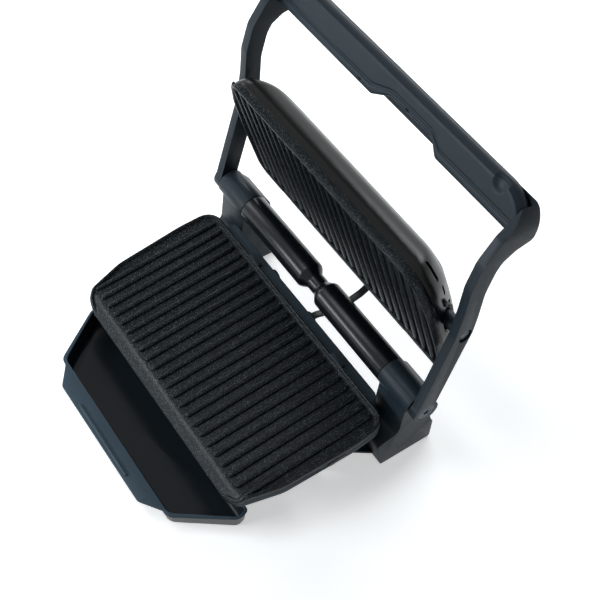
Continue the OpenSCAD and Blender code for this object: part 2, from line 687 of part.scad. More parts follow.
module lid_release_hole() translate([lid_release_x, lid_release_y, 2]) rotate([90, 0, 90])
    linear_extrude(40) offset(delta = key_gap) slot(lid_release_l, lid_release_w);
module release_upper() color("#1d1f21") in_lid() translate([lid_release_x, lid_release_y, 2])
    rotate([90, 0, 90]) linear_extrude(18) slot(lid_release_l, lid_release_w);
ear_x = plate_half - 20;
ear_t = 5;
module lid_frame() color("#7d8286") in_lid() difference() {
    union() {
        slab(frame_z, frame_z + frame_t) lid_plan(26);
        for (s = both) mirror([s < 0 ? 1 : 0, 0, 0]) {
            along_x(ear_x, ear_x + ear_t) polygon(round_poly([
                [pocket_front + 2, frame_z, 0], [pocket_back - 2, frame_z, 0],
                [pocket_back - 6, 13, 8], [pocket_front + 4, 13, 8]]));
            slab(frame_z, frame_z + frame_t) translate([plate_half - 40, pocket_front + 2])
                square([ear_x + ear_t - plate_half + 40, pocket_back - pocket_front - 4]);
        }
    }
    for (s = both) mirror([s < 0 ? 1 : 0, 0, 0]) rod_x(boss_r, plate_half - 41, arm_in);
    translate([sensor_x, 0, 0]) slab(frame_z - 1, frame_z + frame_t + 1) circle(sensor_r);
}
boss_r = pivot_r + 4.5;
module pivot_bosses() color("#3a3f44") in_lid() for (s = both) mirror([s < 0 ? 1 : 0, 0, 0]) difference() {
    rod_x(boss_r, ear_x - 4, arm_in - 1);
    rod_x(pivot_r + running_gap, ear_x - 5, arm_in);
}
module plate_upper() color("#23292d") in_lid() {
    difference() {
        slab(skirt_low, skirt_top) lid_plan();
        slab(skirt_low - 1, ceiling_z) lid_plan(rim_w);
        slab(ceiling_z + plate_t, skirt_top + 1) lid_plan(rim_w);
    }
    mirror([0, 0, 1]) ribs(lid_back - 9, -lid_front + 7, -ceiling_z);
    // the thin rear rim with its two notches; it must pass the barrel when the lid turns
    for (x = [[-rear_rim_out, -notch_x - notch_w], [-notch_x, notch_x], [notch_x + notch_w, rear_rim_out]])
        slab(skirt_low, skirt_low + 5) translate([x[0], lid_back - 6])
            square([x[1] - x[0], 6 + rear_rim]);
}
rear_rim = 1.5;
rear_rim_out = plate_half - 16;
notch_x = 134;
notch_w = 18;
module element_upper() color("#8c8f8a") in_lid()
    heater(ceiling_z + plate_t + element_r, heater_behind, -heater_ahead);
module reflector_upper() color("#aeb2b4") in_lid() difference() {
    slab(frame_z - 2, frame_z - 1.2) lid_plan(24);
    translate([sensor_x, 0, 0]) slab(frame_z - 3, frame_z) circle(sensor_r);
}
module sensor_upper() color("#c7c9c6") in_lid() translate([sensor_x, 0, 0]) {
    slab(ceiling_z + plate_t, ceiling_z + plate_t + 4) circle(sensor_r);
    slab(ceiling_z + plate_t + 4, frame_z + 8) circle(sensor_r - 1);
}
module clips_upper() color("#4a5055") in_lid() for (s = both)
    along_x(s * clip_x - clip_w / 2, s * clip_x + clip_w / 2) polygon(round_poly([
        [lid_back, skirt_low + 5, 0], [lid_back + 2.5, skirt_low + 5, 1], [lid_back + 2.5, skirt_top + 6, 1],
        [lid_back - 3.4, skirt_top + 6, 0], [lid_back - 3.4, skirt_top + 3.5, 0],
        [lid_back, skirt_top + 3.5, 0]], 3));

// ---------------------------------------------------------------- drip tray
// The tray's plan from the hinge axis, drawn in by d
module tray_plan(d = 0) draw_in(d) polygon(round_poly(both_sides([
    [tray_half - tray_taper, tray_front, 20], [tray_half, tray_side, 16], [tray_half - 6, tray_rear, 5]])));
tray_taper = 56;
tray_side = -252;
tray_rear = -236;
tray_front = -328;
tray_lip = -349;
module tray_form(z0, z1, d) hull() {
    section(z0) tray_plan(d + 6);
    section(z0 + 4) tray_plan(d + 2.5);
    section(z1) tray_plan(d);
}
module drip_tray() color("#14181a") translate([0, hinge_y, 0]) difference() {
    union() {
        tray_form(0, tray_rim - 2, 1.5);
        slab(tray_rim - 2.5, tray_rim) tray_plan();
        // the lip to pull it by
        slab(tray_rim - 3, tray_rim) polygon(round_poly([
            [-lip_half - 30, tray_front + 3, 0], [-lip_half, tray_lip, 8], [lip_half, tray_lip, 8],
            [lip_half + 30, tray_front + 3, 0]]));
        translate([0, tray_lip + 6, tray_rim]) rod_x(2.2, -ridge_half, ridge_half);
    }
    tray_form(tray_wall, tray_rim + 1, tray_wall + 1.5);
}
lip_half = 104;
ridge_half = 65;

base_shell();
base_pan();
leg_left();
leg_right();
hinge_barrel();
hinge_bushes();
hinge_shaft();
plate_lower();
reflector_lower();
element_lower();
clips_lower();
release_lower();
sensor_lower();
power_board();
mains_inlet();
cable_gland_base();
link_cable();
cable_gland_lid();
feet_front();
feet_rear();
base_screws();
arm_left();
arm_right();
pivot_caps();
pivot_bolts();
handle_lower();
handle_cover();
handle_screws();
control_panel();
indicator_ring();
control_board();
power_key();
thaw_key();
poultry_key();
fish_key();
steak_key();
manual_key();
start_button();
lid_shell();
lid_frame();
pivot_bosses();
plate_upper();
reflector_upper();
element_upper();
clips_upper();
release_upper();
sensor_upper();
drip_tray();
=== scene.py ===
import json
import math

import bmesh
import bpy
from bpy.props import FloatProperty, FloatVectorProperty, IntProperty, PointerProperty
from mathutils import Matrix, Vector


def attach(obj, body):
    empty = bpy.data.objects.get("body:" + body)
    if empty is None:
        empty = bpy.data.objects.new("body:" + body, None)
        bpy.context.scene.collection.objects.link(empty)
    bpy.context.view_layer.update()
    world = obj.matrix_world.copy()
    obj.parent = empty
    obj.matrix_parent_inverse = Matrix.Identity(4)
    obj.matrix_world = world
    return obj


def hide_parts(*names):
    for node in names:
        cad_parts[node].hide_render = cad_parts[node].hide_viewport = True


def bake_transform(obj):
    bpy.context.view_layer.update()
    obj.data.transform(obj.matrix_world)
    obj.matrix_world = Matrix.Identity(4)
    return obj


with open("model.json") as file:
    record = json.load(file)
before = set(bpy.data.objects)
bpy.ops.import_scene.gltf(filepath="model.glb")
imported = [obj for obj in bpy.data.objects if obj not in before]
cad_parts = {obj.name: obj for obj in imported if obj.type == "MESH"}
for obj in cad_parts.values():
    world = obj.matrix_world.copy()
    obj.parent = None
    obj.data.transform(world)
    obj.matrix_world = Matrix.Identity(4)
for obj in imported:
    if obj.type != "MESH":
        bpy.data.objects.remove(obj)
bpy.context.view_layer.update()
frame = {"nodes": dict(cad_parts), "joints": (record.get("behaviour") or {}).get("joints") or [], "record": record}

bl_info = {
    "name": "Indoor Contact Grill",
    "version": (1, 0, 0),
    "blender": (4, 5, 0),
    "location": "View3D > Sidebar > Grill",
    "description": "Finishes the pieces of an open contact grill and sets up a studio shot of it",
    "category": "Object",
}

MM = 0.001
JOINTS = {joint["name"]: joint for joint in frame["joints"]}
HINGE = Vector(JOINTS["lid_hinge"]["pos_m"])
PIVOT = Vector(JOINTS["lid_float"]["pos_m"])
ARM_LEAN = math.atan2((PIVOT - HINGE).y, (PIVOT - HINGE).z)
LID_LEAN = math.radians(16.86)
PLATE_TILT = math.radians(6)

# Local frames of the grill: in each, -Y runs to the front or along the arm and +Z faces up when shut
IN_PLATE = Matrix.Translation(HINGE) @ Matrix.Rotation(PLATE_TILT, 4, "X")
IN_ARM = Matrix.Translation(HINGE) @ Matrix.Rotation(-math.pi / 2 - ARM_LEAN, 4, "X")
IN_LID = Matrix.Translation(PIVOT) @ Matrix.Rotation(LID_LEAN - math.pi / 2, 4, "X")
AT_HINGE = Matrix.Translation(HINGE)


def linear(hex_colour):
    """The linear RGBA of an sRGB hex colour."""
    channels = [int(hex_colour[i:i + 2], 16) / 255 for i in (1, 3, 5)]
    curve = [c / 12.92 if c <= 0.04045 else ((c + 0.055) / 1.055) ** 2.4 for c in channels]
    return (*curve, 1.0)


# ---- sizes and colours
def length(name, text, default):
    """A length property, shown in the scene's units."""
    return FloatProperty(name=name, description=text, default=default, min=0.0, unit="LENGTH")


def colour(name, text, default):
    """A colour property whose default is an sRGB hex value."""
    return FloatVectorProperty(name=name, description=text, size=4, subtype="COLOR",
                               min=0.0, max=1.0, default=linear(default))


class GrillSizes(bpy.types.PropertyGroup):
    """Sizes of the details that are added to the grill's pieces."""
    edge: length("Edge radius", "Radius moulded on the outer edges of the arms and legs", 2.2 * MM)
    fine_edge: length("Fine edge radius", "Radius on small moulded pieces", 0.6 * MM)
    rib_width: length("Rib width", "Width of a cooking rib at its foot", 7.4 * MM)
    rib_height: length("Rib height", "Height of a cooking rib", 4.6 * MM)
    rib_pitch: length("Rib pitch", "Spacing of the cooking ribs", 17.5 * MM)
    rib_count: IntProperty(name="Rib count", description="Cooking ribs on each plate", default=23, min=1)
    cable_strand: length("Cable strand", "Diameter of one strand of the twin cable", 5.5 * MM)


class GrillColours(bpy.types.PropertyGroup):
    """Colours of the grill's finishes."""
    body: colour("Body plastic", "Spark-eroded ABS of the arms and legs", "#1d262d")
    housing: colour("Base housing", "Moulded polypropylene of the base", "#2e383f")
    lid: colour("Lid", "Polished ABS of the lid's cover", "#060708")
    coating: colour("Non-stick coating", "Sprayed coating of both cooking plates", "#0e1317")
    speckle: colour("Speckles", "Mineral speckles in the coating", "#86939c")
    tray: colour("Drip tray", "Moulded plastic of the drip tray", "#3a4751")


def sizes():
    return bpy.context.scene.grill_sizes


def colours():
    return bpy.context.scene.grill_colours


# ---- materials
def add_node(tree, kind, settings=None, links=None):
    """Adds a node; settings are its attributes or input values, links its inputs from sockets."""
    node = tree.nodes.new(kind)
    for key, value in (settings or {}).items():
        if hasattr(node, key):
            setattr(node, key, value)
        else:
            node.inputs[key].default_value = value
    for key, socket in (links or {}).items():
        tree.links.new(socket, node.inputs[key])
    return node


def emptied(owner):
    """The cleared node tree of a new material or world."""
    owner.use_nodes = True
    owner.node_tree.nodes.clear()
    return owner.node_tree


def new_material(name, mirror):
    """A node material with its shader and object coordinates; mirror is its specular level."""
    material = bpy.data.materials.get(name)
    if material:
        return material, None, None, None
    material = bpy.data.materials.new(name)
    tree = emptied(material)
    shader = add_node(tree, "ShaderNodeBsdfPrincipled", {"Specular IOR Level": mirror})
    add_node(tree, "ShaderNodeOutputMaterial", links={"Surface": shader.outputs[0]})
    place = add_node(tree, "ShaderNodeTexCoord").outputs["Object"]
    return material, tree, shader, place


def grain(tree, place, size, detail=2.0):
    """Noise whose features are about size metres across."""
    noise = add_node(tree, "ShaderNodeTexNoise", {"Scale": 1 / size, "Detail": detail}, {"Vector": place})
    return noise.outputs[0]


def bump(tree, shader, height, strength, depth):
    """Bumps of the given depth in metres."""
    node = add_node(tree, "ShaderNodeBump", {"Strength": strength, "Distance": depth}, {"Height": height})
    tree.links.new(node.outputs["Normal"], shader.inputs["Normal"])


def spread(tree, factor, low, high):
    """Maps 0..1 onto low..high."""
    ramp = add_node(tree, "ShaderNodeMapRange", {"To Min": low, "To Max": high}, {"Value": factor})
    return ramp.outputs[0]


def two_tone(tree, shader, factor, dark, light):
    """A base colour between two colours."""
    mix = add_node(tree, "ShaderNodeMix", {"data_type": "RGBA"})
    tree.links.new(factor, mix.inputs[0])
    mix.inputs[6].default_value = dark
    mix.inputs[7].default_value = light
    tree.links.new(mix.outputs[2], shader.inputs["Base Color"])


def shade(rgba, factor):
    """A colour made lighter or darker."""
    return (*[min(1.0, c * factor) for c in rgba[:3]], 1.0)


def skin(tree, shader, place, gloss, relief, ior):
    """Uneven gloss as (size, lowest, highest roughness) and relief as (size, detail, strength, depth)."""
    size, lowest, highest = gloss
    tree.links.new(spread(tree, grain(tree, place, size), lowest, highest), shader.inputs["Roughness"])
    size, detail, strength, depth = relief
    bump(tree, shader, grain(tree, place, size, detail), strength, depth)
    shader.inputs["IOR"].default_value = ior


def surface(name, base, tone, gloss, relief, ior, mirror):
    """A moulded or sprayed surface; tone is the (size, darkest, lightest) of its clouds, or None."""
    material, tree, shader, place = new_material(name, mirror)
    if tree is None:
        return material
    if tone:
        size, darkest, lightest = tone
        two_tone(tree, shader, grain(tree, place, size), shade(base, darkest), shade(base, lightest))
    else:
        shader.inputs["Base Color"].default_value = base
    skin(tree, shader, place, gloss, relief, ior)
    return material


def moulded_abs():
    """Black ABS from a spark-eroded mould: a fine even grain that spreads the highlights softly."""
    return surface("spark_eroded_abs", tuple(colours().body), (0.03, 0.88, 1.14), (0.012, 0.36, 0.48),
                   (0.0005, 3.0, 0.35, 0.00006), 1.53, 0.12)


def barrel_plastic():
    """Glass-filled nylon of the hinge barrel: near black and satin, with a highlight along it."""
    return plain("hinge_nylon", "#080d12", 0.24, 0.0008, 0.00002, 1.53, 0.2)


def housing_plastic():
    """Mineral-filled polypropylene: duller than ABS, with faint flow clouds."""
    return surface("moulded_polypropylene", tuple(colours().housing), (0.05, 0.85, 1.2),
                   (0.008, 0.42, 0.56), (0.0006, 2.0, 0.4, 0.00008), 1.49, 0.1)


def polished_abs():
    """Black ABS from a polished mould under a thin haze of wear: a soft gloss, hardly uneven."""
    return surface("polished_abs", tuple(colours().lid), None, (0.02, 0.27, 0.33),
                   (0.03, 0.0, 0.05, 0.0001), 1.54, 0.17)


def tray_plastic():
    """Glass-filled nylon with a satin mould finish: smoother than the arms, with a finer grain."""
    return surface("satin_nylon", tuple(colours().tray), (0.04, 0.9, 1.15), (0.01, 0.24, 0.34),
                   (0.0009, 2.0, 0.25, 0.00005), 1.52, 0.07)


def polished_and_shaded_inside():
    """The same nylon where the mould is polished, below the tray's flange: easy to wipe, and darker as painted
    shade for the deep inside of the tray under the plate.
    """
    return surface("polished_nylon_painted_shade", shade(tuple(colours().tray), 0.2), None, (0.03, 0.2, 0.28),
                   (0.03, 0.0, 0.05, 0.0001), 1.52, 0.15)


SPECKLE_SPACING = 0.0012
SPECKLE_CORE = 0.16
SPECKLE_RIM = 0.3
SPECKLE_SKIPPED = 0.45


def nonstick_coating():
    """Sprayed PTFE on cast aluminium: a dark satin film full of pale mineral speckles."""
    material, tree, shader, place = new_material("speckled_nonstick", 0.14)
    if tree:
        # the real speckles are about 0.3 mm across; they are drawn 0.7 mm across so that they show
        cells = add_node(tree, "ShaderNodeTexVoronoi", {"Scale": 1 / SPECKLE_SPACING, "Randomness": 1.0},
                         {"Vector": place})
        near = add_node(tree, "ShaderNodeMapRange",
                        {"From Min": SPECKLE_CORE, "From Max": SPECKLE_RIM, "To Min": 1.0, "To Max": 0.0},
                        {"Value": cells.outputs["Distance"]})
        pick = add_node(tree, "ShaderNodeSeparateColor", links={"Color": cells.outputs["Color"]})
        some = add_node(tree, "ShaderNodeMath", {"operation": "GREATER_THAN"}, {0: pick.outputs[0]})
        some.inputs[1].default_value = SPECKLE_SKIPPED
        speck = add_node(tree, "ShaderNodeMath", {"operation": "MULTIPLY"},
                         {0: near.outputs[0], 1: some.outputs[0]})
        two_tone(tree, shader, speck.outputs[0], tuple(colours().coating), tuple(colours().speckle))
        skin(tree, shader, place, (0.004, 0.3, 0.42), (0.0008, 3.0, 0.35, 0.00008), 1.4)
    return material


def metal(name, hex_colour, roughness, brush=(1.0, 1.0, 1.0)):
    """A bare metal whose fine scratches are stretched by brush, the pattern's scale along each axis."""
    material, tree, shader, place = new_material(name, 0.5)
    if tree:
        stretched = add_node(tree, "ShaderNodeMapping", links={"Vector": place})
        stretched.inputs["Scale"].default_value = brush
        lines = grain(tree, stretched.outputs[0], 0.0012, 3.0)
        base = linear(hex_colour)
        two_tone(tree, shader, lines, shade(base, 0.85), shade(base, 1.08))
        shader.inputs["Metallic"].default_value = 1.0
        tree.links.new(spread(tree, lines, roughness - 0.06, roughness + 0.08), shader.inputs["Roughness"])
        bump(tree, shader, lines, 0.2, 0.00004)
    return material


def turned_steel():
    """Bright steel turned on a lathe: fine rings round the hinge's axis."""
    return metal("turned_steel", "#b4b8bc", 0.28, (6.0, 1.0, 1.0))


def cast_aluminium():
    """Die-cast aluminium, left bare: grey, a little cloudy and not very bright."""
    return metal("die_cast_aluminium", "#a9adb0", 0.42)


def sheet_steel():
    """Rolled steel sheet, brushed along the grill's width."""
    return metal("rolled_steel_sheet", "#9ea2a6", 0.34, (0.08, 1.0, 1.0))


def turned_bronze():
    """Sintered bronze of a plain bearing: warm and dull."""
    return metal("sintered_bronze", "#b98d52", 0.45)


def plain(name, hex_colour, roughness, grain_size, depth, ior=1.5, mirror=0.25):
    """A plain moulded or sprayed surface with its own grain."""
    return surface(name, linear(hex_colour), (0.02, 0.86, 1.14), (0.006, roughness - 0.05, roughness + 0.06),
                   (grain_size, 2.0, 0.4, depth), ior, mirror)


def nitrile_rubber():
    """Moulded nitrile rubber: almost black and without a clear highlight."""
    return plain("nitrile_rubber", "#141516", 0.72, 0.0007, 0.00012)


def cable_jacket():
    """Soft PVC jacket: black with a low waxy shine."""
    return plain("pvc_jacket", "#131516", 0.42, 0.0012, 0.00008)


def solder_mask():
    """Epoxy circuit board under green solder mask."""
    return plain("solder_mask", "#1c5a33", 0.3, 0.001, 0.00003)


def key_plastic():
    """Painted ABS keycap: mid grey and satin."""
    return plain("painted_keycap", "#5a6066", 0.4, 0.0005, 0.00004)


def enamelled_sheet():
    """Powder-coated steel sheet of the bottom pan and the lid's frame: orange-peel skin."""
    return plain("powder_coat", "#232527", 0.5, 0.0018, 0.00015)


def cap_finish_painted_highlight():
    """Steel under a blue-grey satin coat, lighter than the arm so that it stands out a little from it: the
    lightness is a painted highlight for the light on the caps' rings, which sit in shade.
    """
    return plain("cap_coat_painted_highlight", "#4b5c68", 0.3, 0.0006, 0.00003)


def diffuser():
    """Milky polycarbonate of the light ring."""
    return plain("opal_polycarbonate", "#d5d9da", 0.3, 0.001, 0.00002, 1.58)


SLOT_FINISH = {
    "black_plastic": moulded_abs, "gloss_black": polished_abs, "housing": housing_plastic,
    "nonstick": nonstick_coating, "tray_plastic": tray_plastic, "steel": turned_steel,
    "aluminium": cast_aluminium, "brass": turned_bronze, "rubber": nitrile_rubber,
    "board": solder_mask, "key": key_plastic, "ring": diffuser, "pan": enamelled_sheet,
}
# Nodes with another finish than their slot's
OWN_FINISH = {
    # the pivot caps and bolts are painted lighter than the arm, a painted highlight
    "hinge_barrel": barrel_plastic, "pivot_caps": cap_finish_painted_highlight, "pivot_bolts": cap_finish_painted_highlight,
    "lid_frame": enamelled_sheet, "clips_lower": moulded_abs, "clips_upper": moulded_abs,
    "release_lower": moulded_abs, "release_upper": moulded_abs, "reflector_lower": sheet_steel,
    "reflector_upper": sheet_steel,
}
NODE_SLOT = {part["node"]: part["material_slot"] for part in frame["record"]["subparts"]}
NODE_BODY = {node: body for body, nodes in frame["record"]["behaviour"]["bodies"].items() for node in nodes}


def node_finish(node):
    """The material of a node."""
    return OWN_FINISH.get(node, SLOT_FINISH[NODE_SLOT[node]])()


def dress(obj, material):
    """Gives an object one material."""
    obj.data.materials.clear()
    obj.data.materials.append(material)
    return obj


# ---- meshes
def linked(name, data):
    """A new object in the scene."""
    obj = bpy.data.objects.new(name, data)
    bpy.context.scene.collection.objects.link(obj)
    return obj


def shaded_smooth(mesh):
    """Shades all faces of a mesh smooth."""
    mesh.polygons.foreach_set("use_smooth", [True] * len(mesh.polygons))


def merged(mesh, distance, flat_angle=None):
    """Merges a mesh's close points; then merges its flat faces, or else turns its faces outwards."""
    bm = bmesh.new()
    bm.from_mesh(mesh)
    bmesh.ops.remove_doubles(bm, verts=bm.verts, dist=distance)
    if flat_angle:
        bmesh.ops.dissolve_limit(bm, angle_limit=flat_angle, verts=bm.verts, edges=bm.edges)
    else:
        bmesh.ops.recalc_face_normals(bm, faces=bm.faces)
    bm.to_mesh(mesh)
    bm.free()


def stand_in(obj, node):
    """Puts an object in a node's place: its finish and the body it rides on."""
    dress(obj, node_finish(node))
    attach(obj, NODE_BODY[node])
    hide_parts(node)


def softened(node, width, segments):
    """A copy of a node's solid with its sharp edges rounded, in the node's place."""
    mesh = frame["nodes"][node].data.copy()
    mesh.name = node + "_moulded"
    merged(mesh, 2e-6, math.radians(0.5))
    shaded_smooth(mesh)
    obj = linked(mesh.name, mesh)
    round_edges(obj, width, segments)
    stand_in(obj, node)


def round_edges(obj, width, segments, angle=32):
    """Rounds the edges sharper than angle degrees."""
    bevel = obj.modifiers.new("rounding", "BEVEL")
    bevel.width = width
    bevel.segments = segments
    bevel.limit_method = "ANGLE"
    bevel.angle_limit = math.radians(angle)
    bevel.harden_normals = True
    bevel.miter_outer = "MITER_ARC"


def settled(obj):
    """Turns an object's modifiers into its plain mesh."""
    graph = bpy.context.evaluated_depsgraph_get()
    mesh = bpy.data.meshes.new_from_object(obj.evaluated_get(graph))
    obj.modifiers.clear()
    obj.data = mesh
    return obj


def cut_out(obj, others):
    """Cuts the shapes of other objects out of one, and removes them."""
    for other in others:
        step = obj.modifiers.new("cut", "BOOLEAN")
        step.operation = "DIFFERENCE"
        step.solver = "EXACT"
        step.object = other
    settled(obj)
    for other in others:
        bpy.data.objects.remove(other)


def by_angle(obj, angle):
    """Shades an object smooth but for the edges sharper than angle degrees."""
    shaded_smooth(obj.data)
    obj.data.set_sharp_from_angle(angle=math.radians(angle))


def rounded(corners, steps):
    """The closed outline through (x, y, radius) corners, each rounded by an arc."""
    points = []
    for i, (x, y, radius) in enumerate(corners):
        corner = Vector((x, y))
        before = (Vector(corners[i - 1][:2]) - corner).normalized()
        after = (Vector(corners[(i + 1) % len(corners)][:2]) - corner).normalized()
        if radius == 0:
            points.append(corner)
            continue
        half = math.acos(max(-1, min(1, before.dot(after)))) / 2
        centre = corner + (before + after).normalized() * radius / math.sin(half)
        start = corner + before * radius / math.tan(half) - centre
        end = corner + after * radius / math.tan(half) - centre
        first = math.atan2(start.y, start.x)
        sweep = (math.atan2(end.y, end.x) - first + math.pi) % math.tau - math.pi
        for k in range(steps + 1):
            a = first + sweep * k / steps
            points.append(centre + Vector((math.cos(a), math.sin(a))) * radius)
    return points


def mirrored(corners):
    """The corners of the right half, and of the left half after them."""
    return corners + [(-x, y, r) for x, y, r in reversed(corners)]


def resampled(outline, count):
    """The same closed outline as count points at even distances."""
    closed = outline + [outline[0]]
    lengths = [0.0]
    for a, b in zip(closed, closed[1:]):
        lengths.append(lengths[-1] + (b - a).length)
    points, k = [], 0
    for i in range(count):
        want = lengths[-1] * i / count
        while lengths[k + 1] < want:
            k += 1
        t = (want - lengths[k]) / max(lengths[k + 1] - lengths[k], 1e-9)
        points.append(closed[k].lerp(closed[k + 1], t))
    return points


def drawn_in(points, distance):
    """A closed outline moved inwards along its normals."""
    moved = []
    count = len(points)
    for i, p in enumerate(points):
        along = (points[(i + 1) % count] - points[i - 1]).normalized()
        moved.append(p + Vector((-along.y, along.x)) * distance)
    return moved


def loft(name, rings, frame_matrix):
    """A closed skin over rings of as many points each, in millimetres in one of the grill's frames."""
    count = len(rings[0])
    verts = [frame_matrix @ (Vector(p) * MM) for points in rings for p in points]
    faces = []
    for k in range(len(rings) - 1):
        for j in range(count):
            faces.append((k * count + j, k * count + (j + 1) % count,
                          (k + 1) * count + (j + 1) % count, (k + 1) * count + j))
    faces.append(tuple(range(count - 1, -1, -1)))
    faces.append(tuple(range((len(rings) - 1) * count, len(rings) * count)))
    mesh = bpy.data.meshes.new(name)
    mesh.from_pydata(verts, [], faces)
    merged(mesh, 1e-6)
    shaded_smooth(mesh)
    return linked(name, mesh)


def circle(u, v, radius, count, wave=0.0):
    """Points round (u, v); wave gives their radius six lobes."""
    points = []
    for k in range(count):
        a = math.tau * k / count
        r = radius + wave * math.cos(6 * a)
        points.append((u + r * math.cos(a), v + r * math.sin(a)))
    return points


def prism(name, outline, low, high, frame_matrix, axis="Z"):
    """An outline extruded between two heights, along Z, or along X for a (y, z) outline."""
    ends = []
    for h in (low, high):
        ends.append([(h, *p) if axis == "X" else (*p, h) for p in outline])
    return loft(name, ends, frame_matrix)


def slot_outline(cx, cy, length_mm, width_mm):
    """A slot with round ends along its first axis."""
    r = width_mm / 2
    right = []
    for k in range(9):
        a = math.pi * (k / 8 - 0.5)
        right.append((cx + length_mm / 2 - r + r * math.cos(a), cy + r * math.sin(a)))
    return right + [(2 * cx - x, 2 * cy - y) for x, y in right]


def row_tree():
    """Geometry Nodes that repeat the object's mesh along a line, with its material."""
    name = "row_of_copies"
    if name in bpy.data.node_groups:
        return bpy.data.node_groups[name]
    tree = bpy.data.node_groups.new(name, "GeometryNodeTree")
    for label, kind in (("Geometry", "Geometry"), ("Count", "Int"), ("First", "Vector"), ("Step", "Vector"),
                        ("Finish", "Material")):
        tree.interface.new_socket(label, in_out="INPUT", socket_type="NodeSocket" + kind)
    tree.interface.new_socket("Geometry", in_out="OUTPUT", socket_type="NodeSocketGeometry")
    given = add_node(tree, "NodeGroupInput")
    line = add_node(tree, "GeometryNodeMeshLine", {"mode": "OFFSET"},
                    {"Count": given.outputs["Count"], "Start Location": given.outputs["First"],
                     "Offset": given.outputs["Step"]})
    copies = add_node(tree, "GeometryNodeInstanceOnPoints",
                      links={"Points": line.outputs[0], "Instance": given.outputs["Geometry"]})
    real = add_node(tree, "GeometryNodeRealizeInstances", links={"Geometry": copies.outputs[0]})
    finish = add_node(tree, "GeometryNodeSetMaterial",
                      links={"Geometry": real.outputs[0], "Material": given.outputs["Finish"]})
    add_node(tree, "NodeGroupOutput", links={"Geometry": finish.outputs[0]})
    return tree


def in_a_row(obj, count, first, step, material):
    """Repeats an object along a line, as one plain mesh. first and step are in metres."""
    tree = row_tree()
    ids = {item.name: item.identifier for item in tree.interface.items_tree if item.in_out == "INPUT"}
    row = obj.modifiers.new("row", "NODES")
    row.node_group = tree
    row[ids["Count"]] = count
    row[ids["First"]] = first
    row[ids["Step"]] = step
    row[ids["Finish"]] = material
    return settled(obj)


def joined(name, objects):
    """One object from several."""
    bm = bmesh.new()
    for obj in objects:
        bm.from_mesh(settled(obj).data)
    mesh = bpy.data.meshes.new(name)
    bm.to_mesh(mesh)
    bm.free()
    for obj in objects:
        bpy.data.objects.remove(obj)
    return linked(name, mesh)


# ---- plans of the plates and the lid, in mm
PLATE_CORNERS = mirrored([(172, -267, 20), (194, -261, 18), (211, -200, 80), (216, -95, 110),
                          (213.5, -40.5, 24)])
LID_CORNERS = mirrored([(191, -105, 26), (211, -45, 60), (216, 30, 60), (212, 117, 18)])
# Heights over the hinge in the plates' frame, and over the pivot in the lid's
PLATE_RIM = -23.8
PLATE_FLOOR = -29.3
PLATE_UNDER = -33.3
LIP = -45.3
SKIRT_LOW = -29.0
CEILING = -23.5
SKIRT_TOP = -16.4
LID_TOP = 28.0
# Where the lower plate starts to fall to its lip, and over what run
APRON = -250
APRON_RUN = 17


def ring(outline, height):
    """A ring of points over an outline."""
    return [(p.x, p.y, height) for p in outline]


def smooth_step(low, high, value):
    """0 below low, 1 above high, and a soft ramp between."""
    t = max(0.0, min(1.0, (value - low) / (high - low)))
    return t * t * (3 - 2 * t)


def apron_drop(p):
    """How far the lower plate has fallen at a point, over its front edge."""
    ahead = APRON + 3 - p.y
    if ahead <= 0:
        return 0.0
    slope = (PLATE_FLOOR - LIP) / APRON_RUN
    return slope * (ahead * ahead / 12 if ahead < 6 else ahead - 3)


def spline_through(rows, steps):
    """Rows of numbers with steps values between each two, on a smooth curve through them."""
    out = []
    for i in range(len(rows) - 1):
        a, b = rows[max(i - 1, 0)], rows[i]
        c, d = rows[i + 1], rows[min(i + 2, len(rows) - 1)]
        for k in range(steps):
            t = k / steps
            row = []
            for p, q, r, s in zip(a, b, c, d):
                row.append(0.5 * (2 * q + (r - p) * t + (2 * p - 5 * q + 4 * r - s) * t * t
                                  + (3 * q - p - 3 * r + s) * t ** 3))
            out.append(row)
    out.append(list(rows[-1]))
    return out


RIB_END = 5.5


def rib_bar(length_mm, frame_matrix, y_end, z, up):
    """One cooking rib along Y from y_end, with a rounded crest and rounded ends."""
    wide = sizes().rib_width / MM / 2
    high = sizes().rib_height / MM
    rings = []
    stations = [0, 0.6, 1.6, 3.2, RIB_END]
    places = stations + [length_mm - s for s in reversed(stations)]
    for place in places:
        inside = min(place, length_mm - place, RIB_END) / RIB_END
        grow = math.sqrt(max(0.02, 1 - (1 - inside) ** 2))
        section = []
        for k in range(13):
            a = math.pi * k / 12
            x = wide * grow * math.cos(a)
            h = high * grow * math.sin(a) ** 0.8
            section.append((x, y_end + place, z + up * h))
        for x in (-wide * grow, wide * grow):
            section.append((x, y_end + place, z - up))
        rings.append(section)
    return loft("rib", rings, frame_matrix)


def rib_row(length_mm, frame_matrix, y_end, z, up, material):
    """All ribs of one plate, side by side."""
    pitch = sizes().rib_pitch
    count = sizes().rib_count
    first = (-(count - 1) / 2 * pitch, 0, 0)
    rib = rib_bar(length_mm, frame_matrix, y_end, z, up)
    return in_a_row(rib, count, first, (pitch, 0, 0), material)


# ---- the stage
def seen_straight(tree):
    """1 for rays that see a thing straight, in a mirror or through glass, and 0 for its light."""
    path = add_node(tree, "ShaderNodeLightPath")
    mirror = add_node(tree, "ShaderNodeMath", {"operation": "MAXIMUM"},
                      {0: path.outputs["Is Camera Ray"], 1: path.outputs["Is Glossy Ray"]})
    glass = add_node(tree, "ShaderNodeMath", {"operation": "MAXIMUM"},
                     {0: mirror.outputs[0], 1: path.outputs["Is Transmission Ray"]})
    return glass.outputs[0]


# The camera that was fitted to the photo: its place in metres and the picture's directions
CAMERA_PLACE = (0.7732369, -0.5025145, 1.4182787)
TO_THE_RIGHT = Vector((0.5609841, 0.8268112, 0.0409900))
DOWNWARDS = Vector((0.6776560, -0.4302163, -0.5964028))
AHEAD = Vector((-0.4754779, 0.3623496, -0.8016380))
FOCAL_LENGTH = 71.4
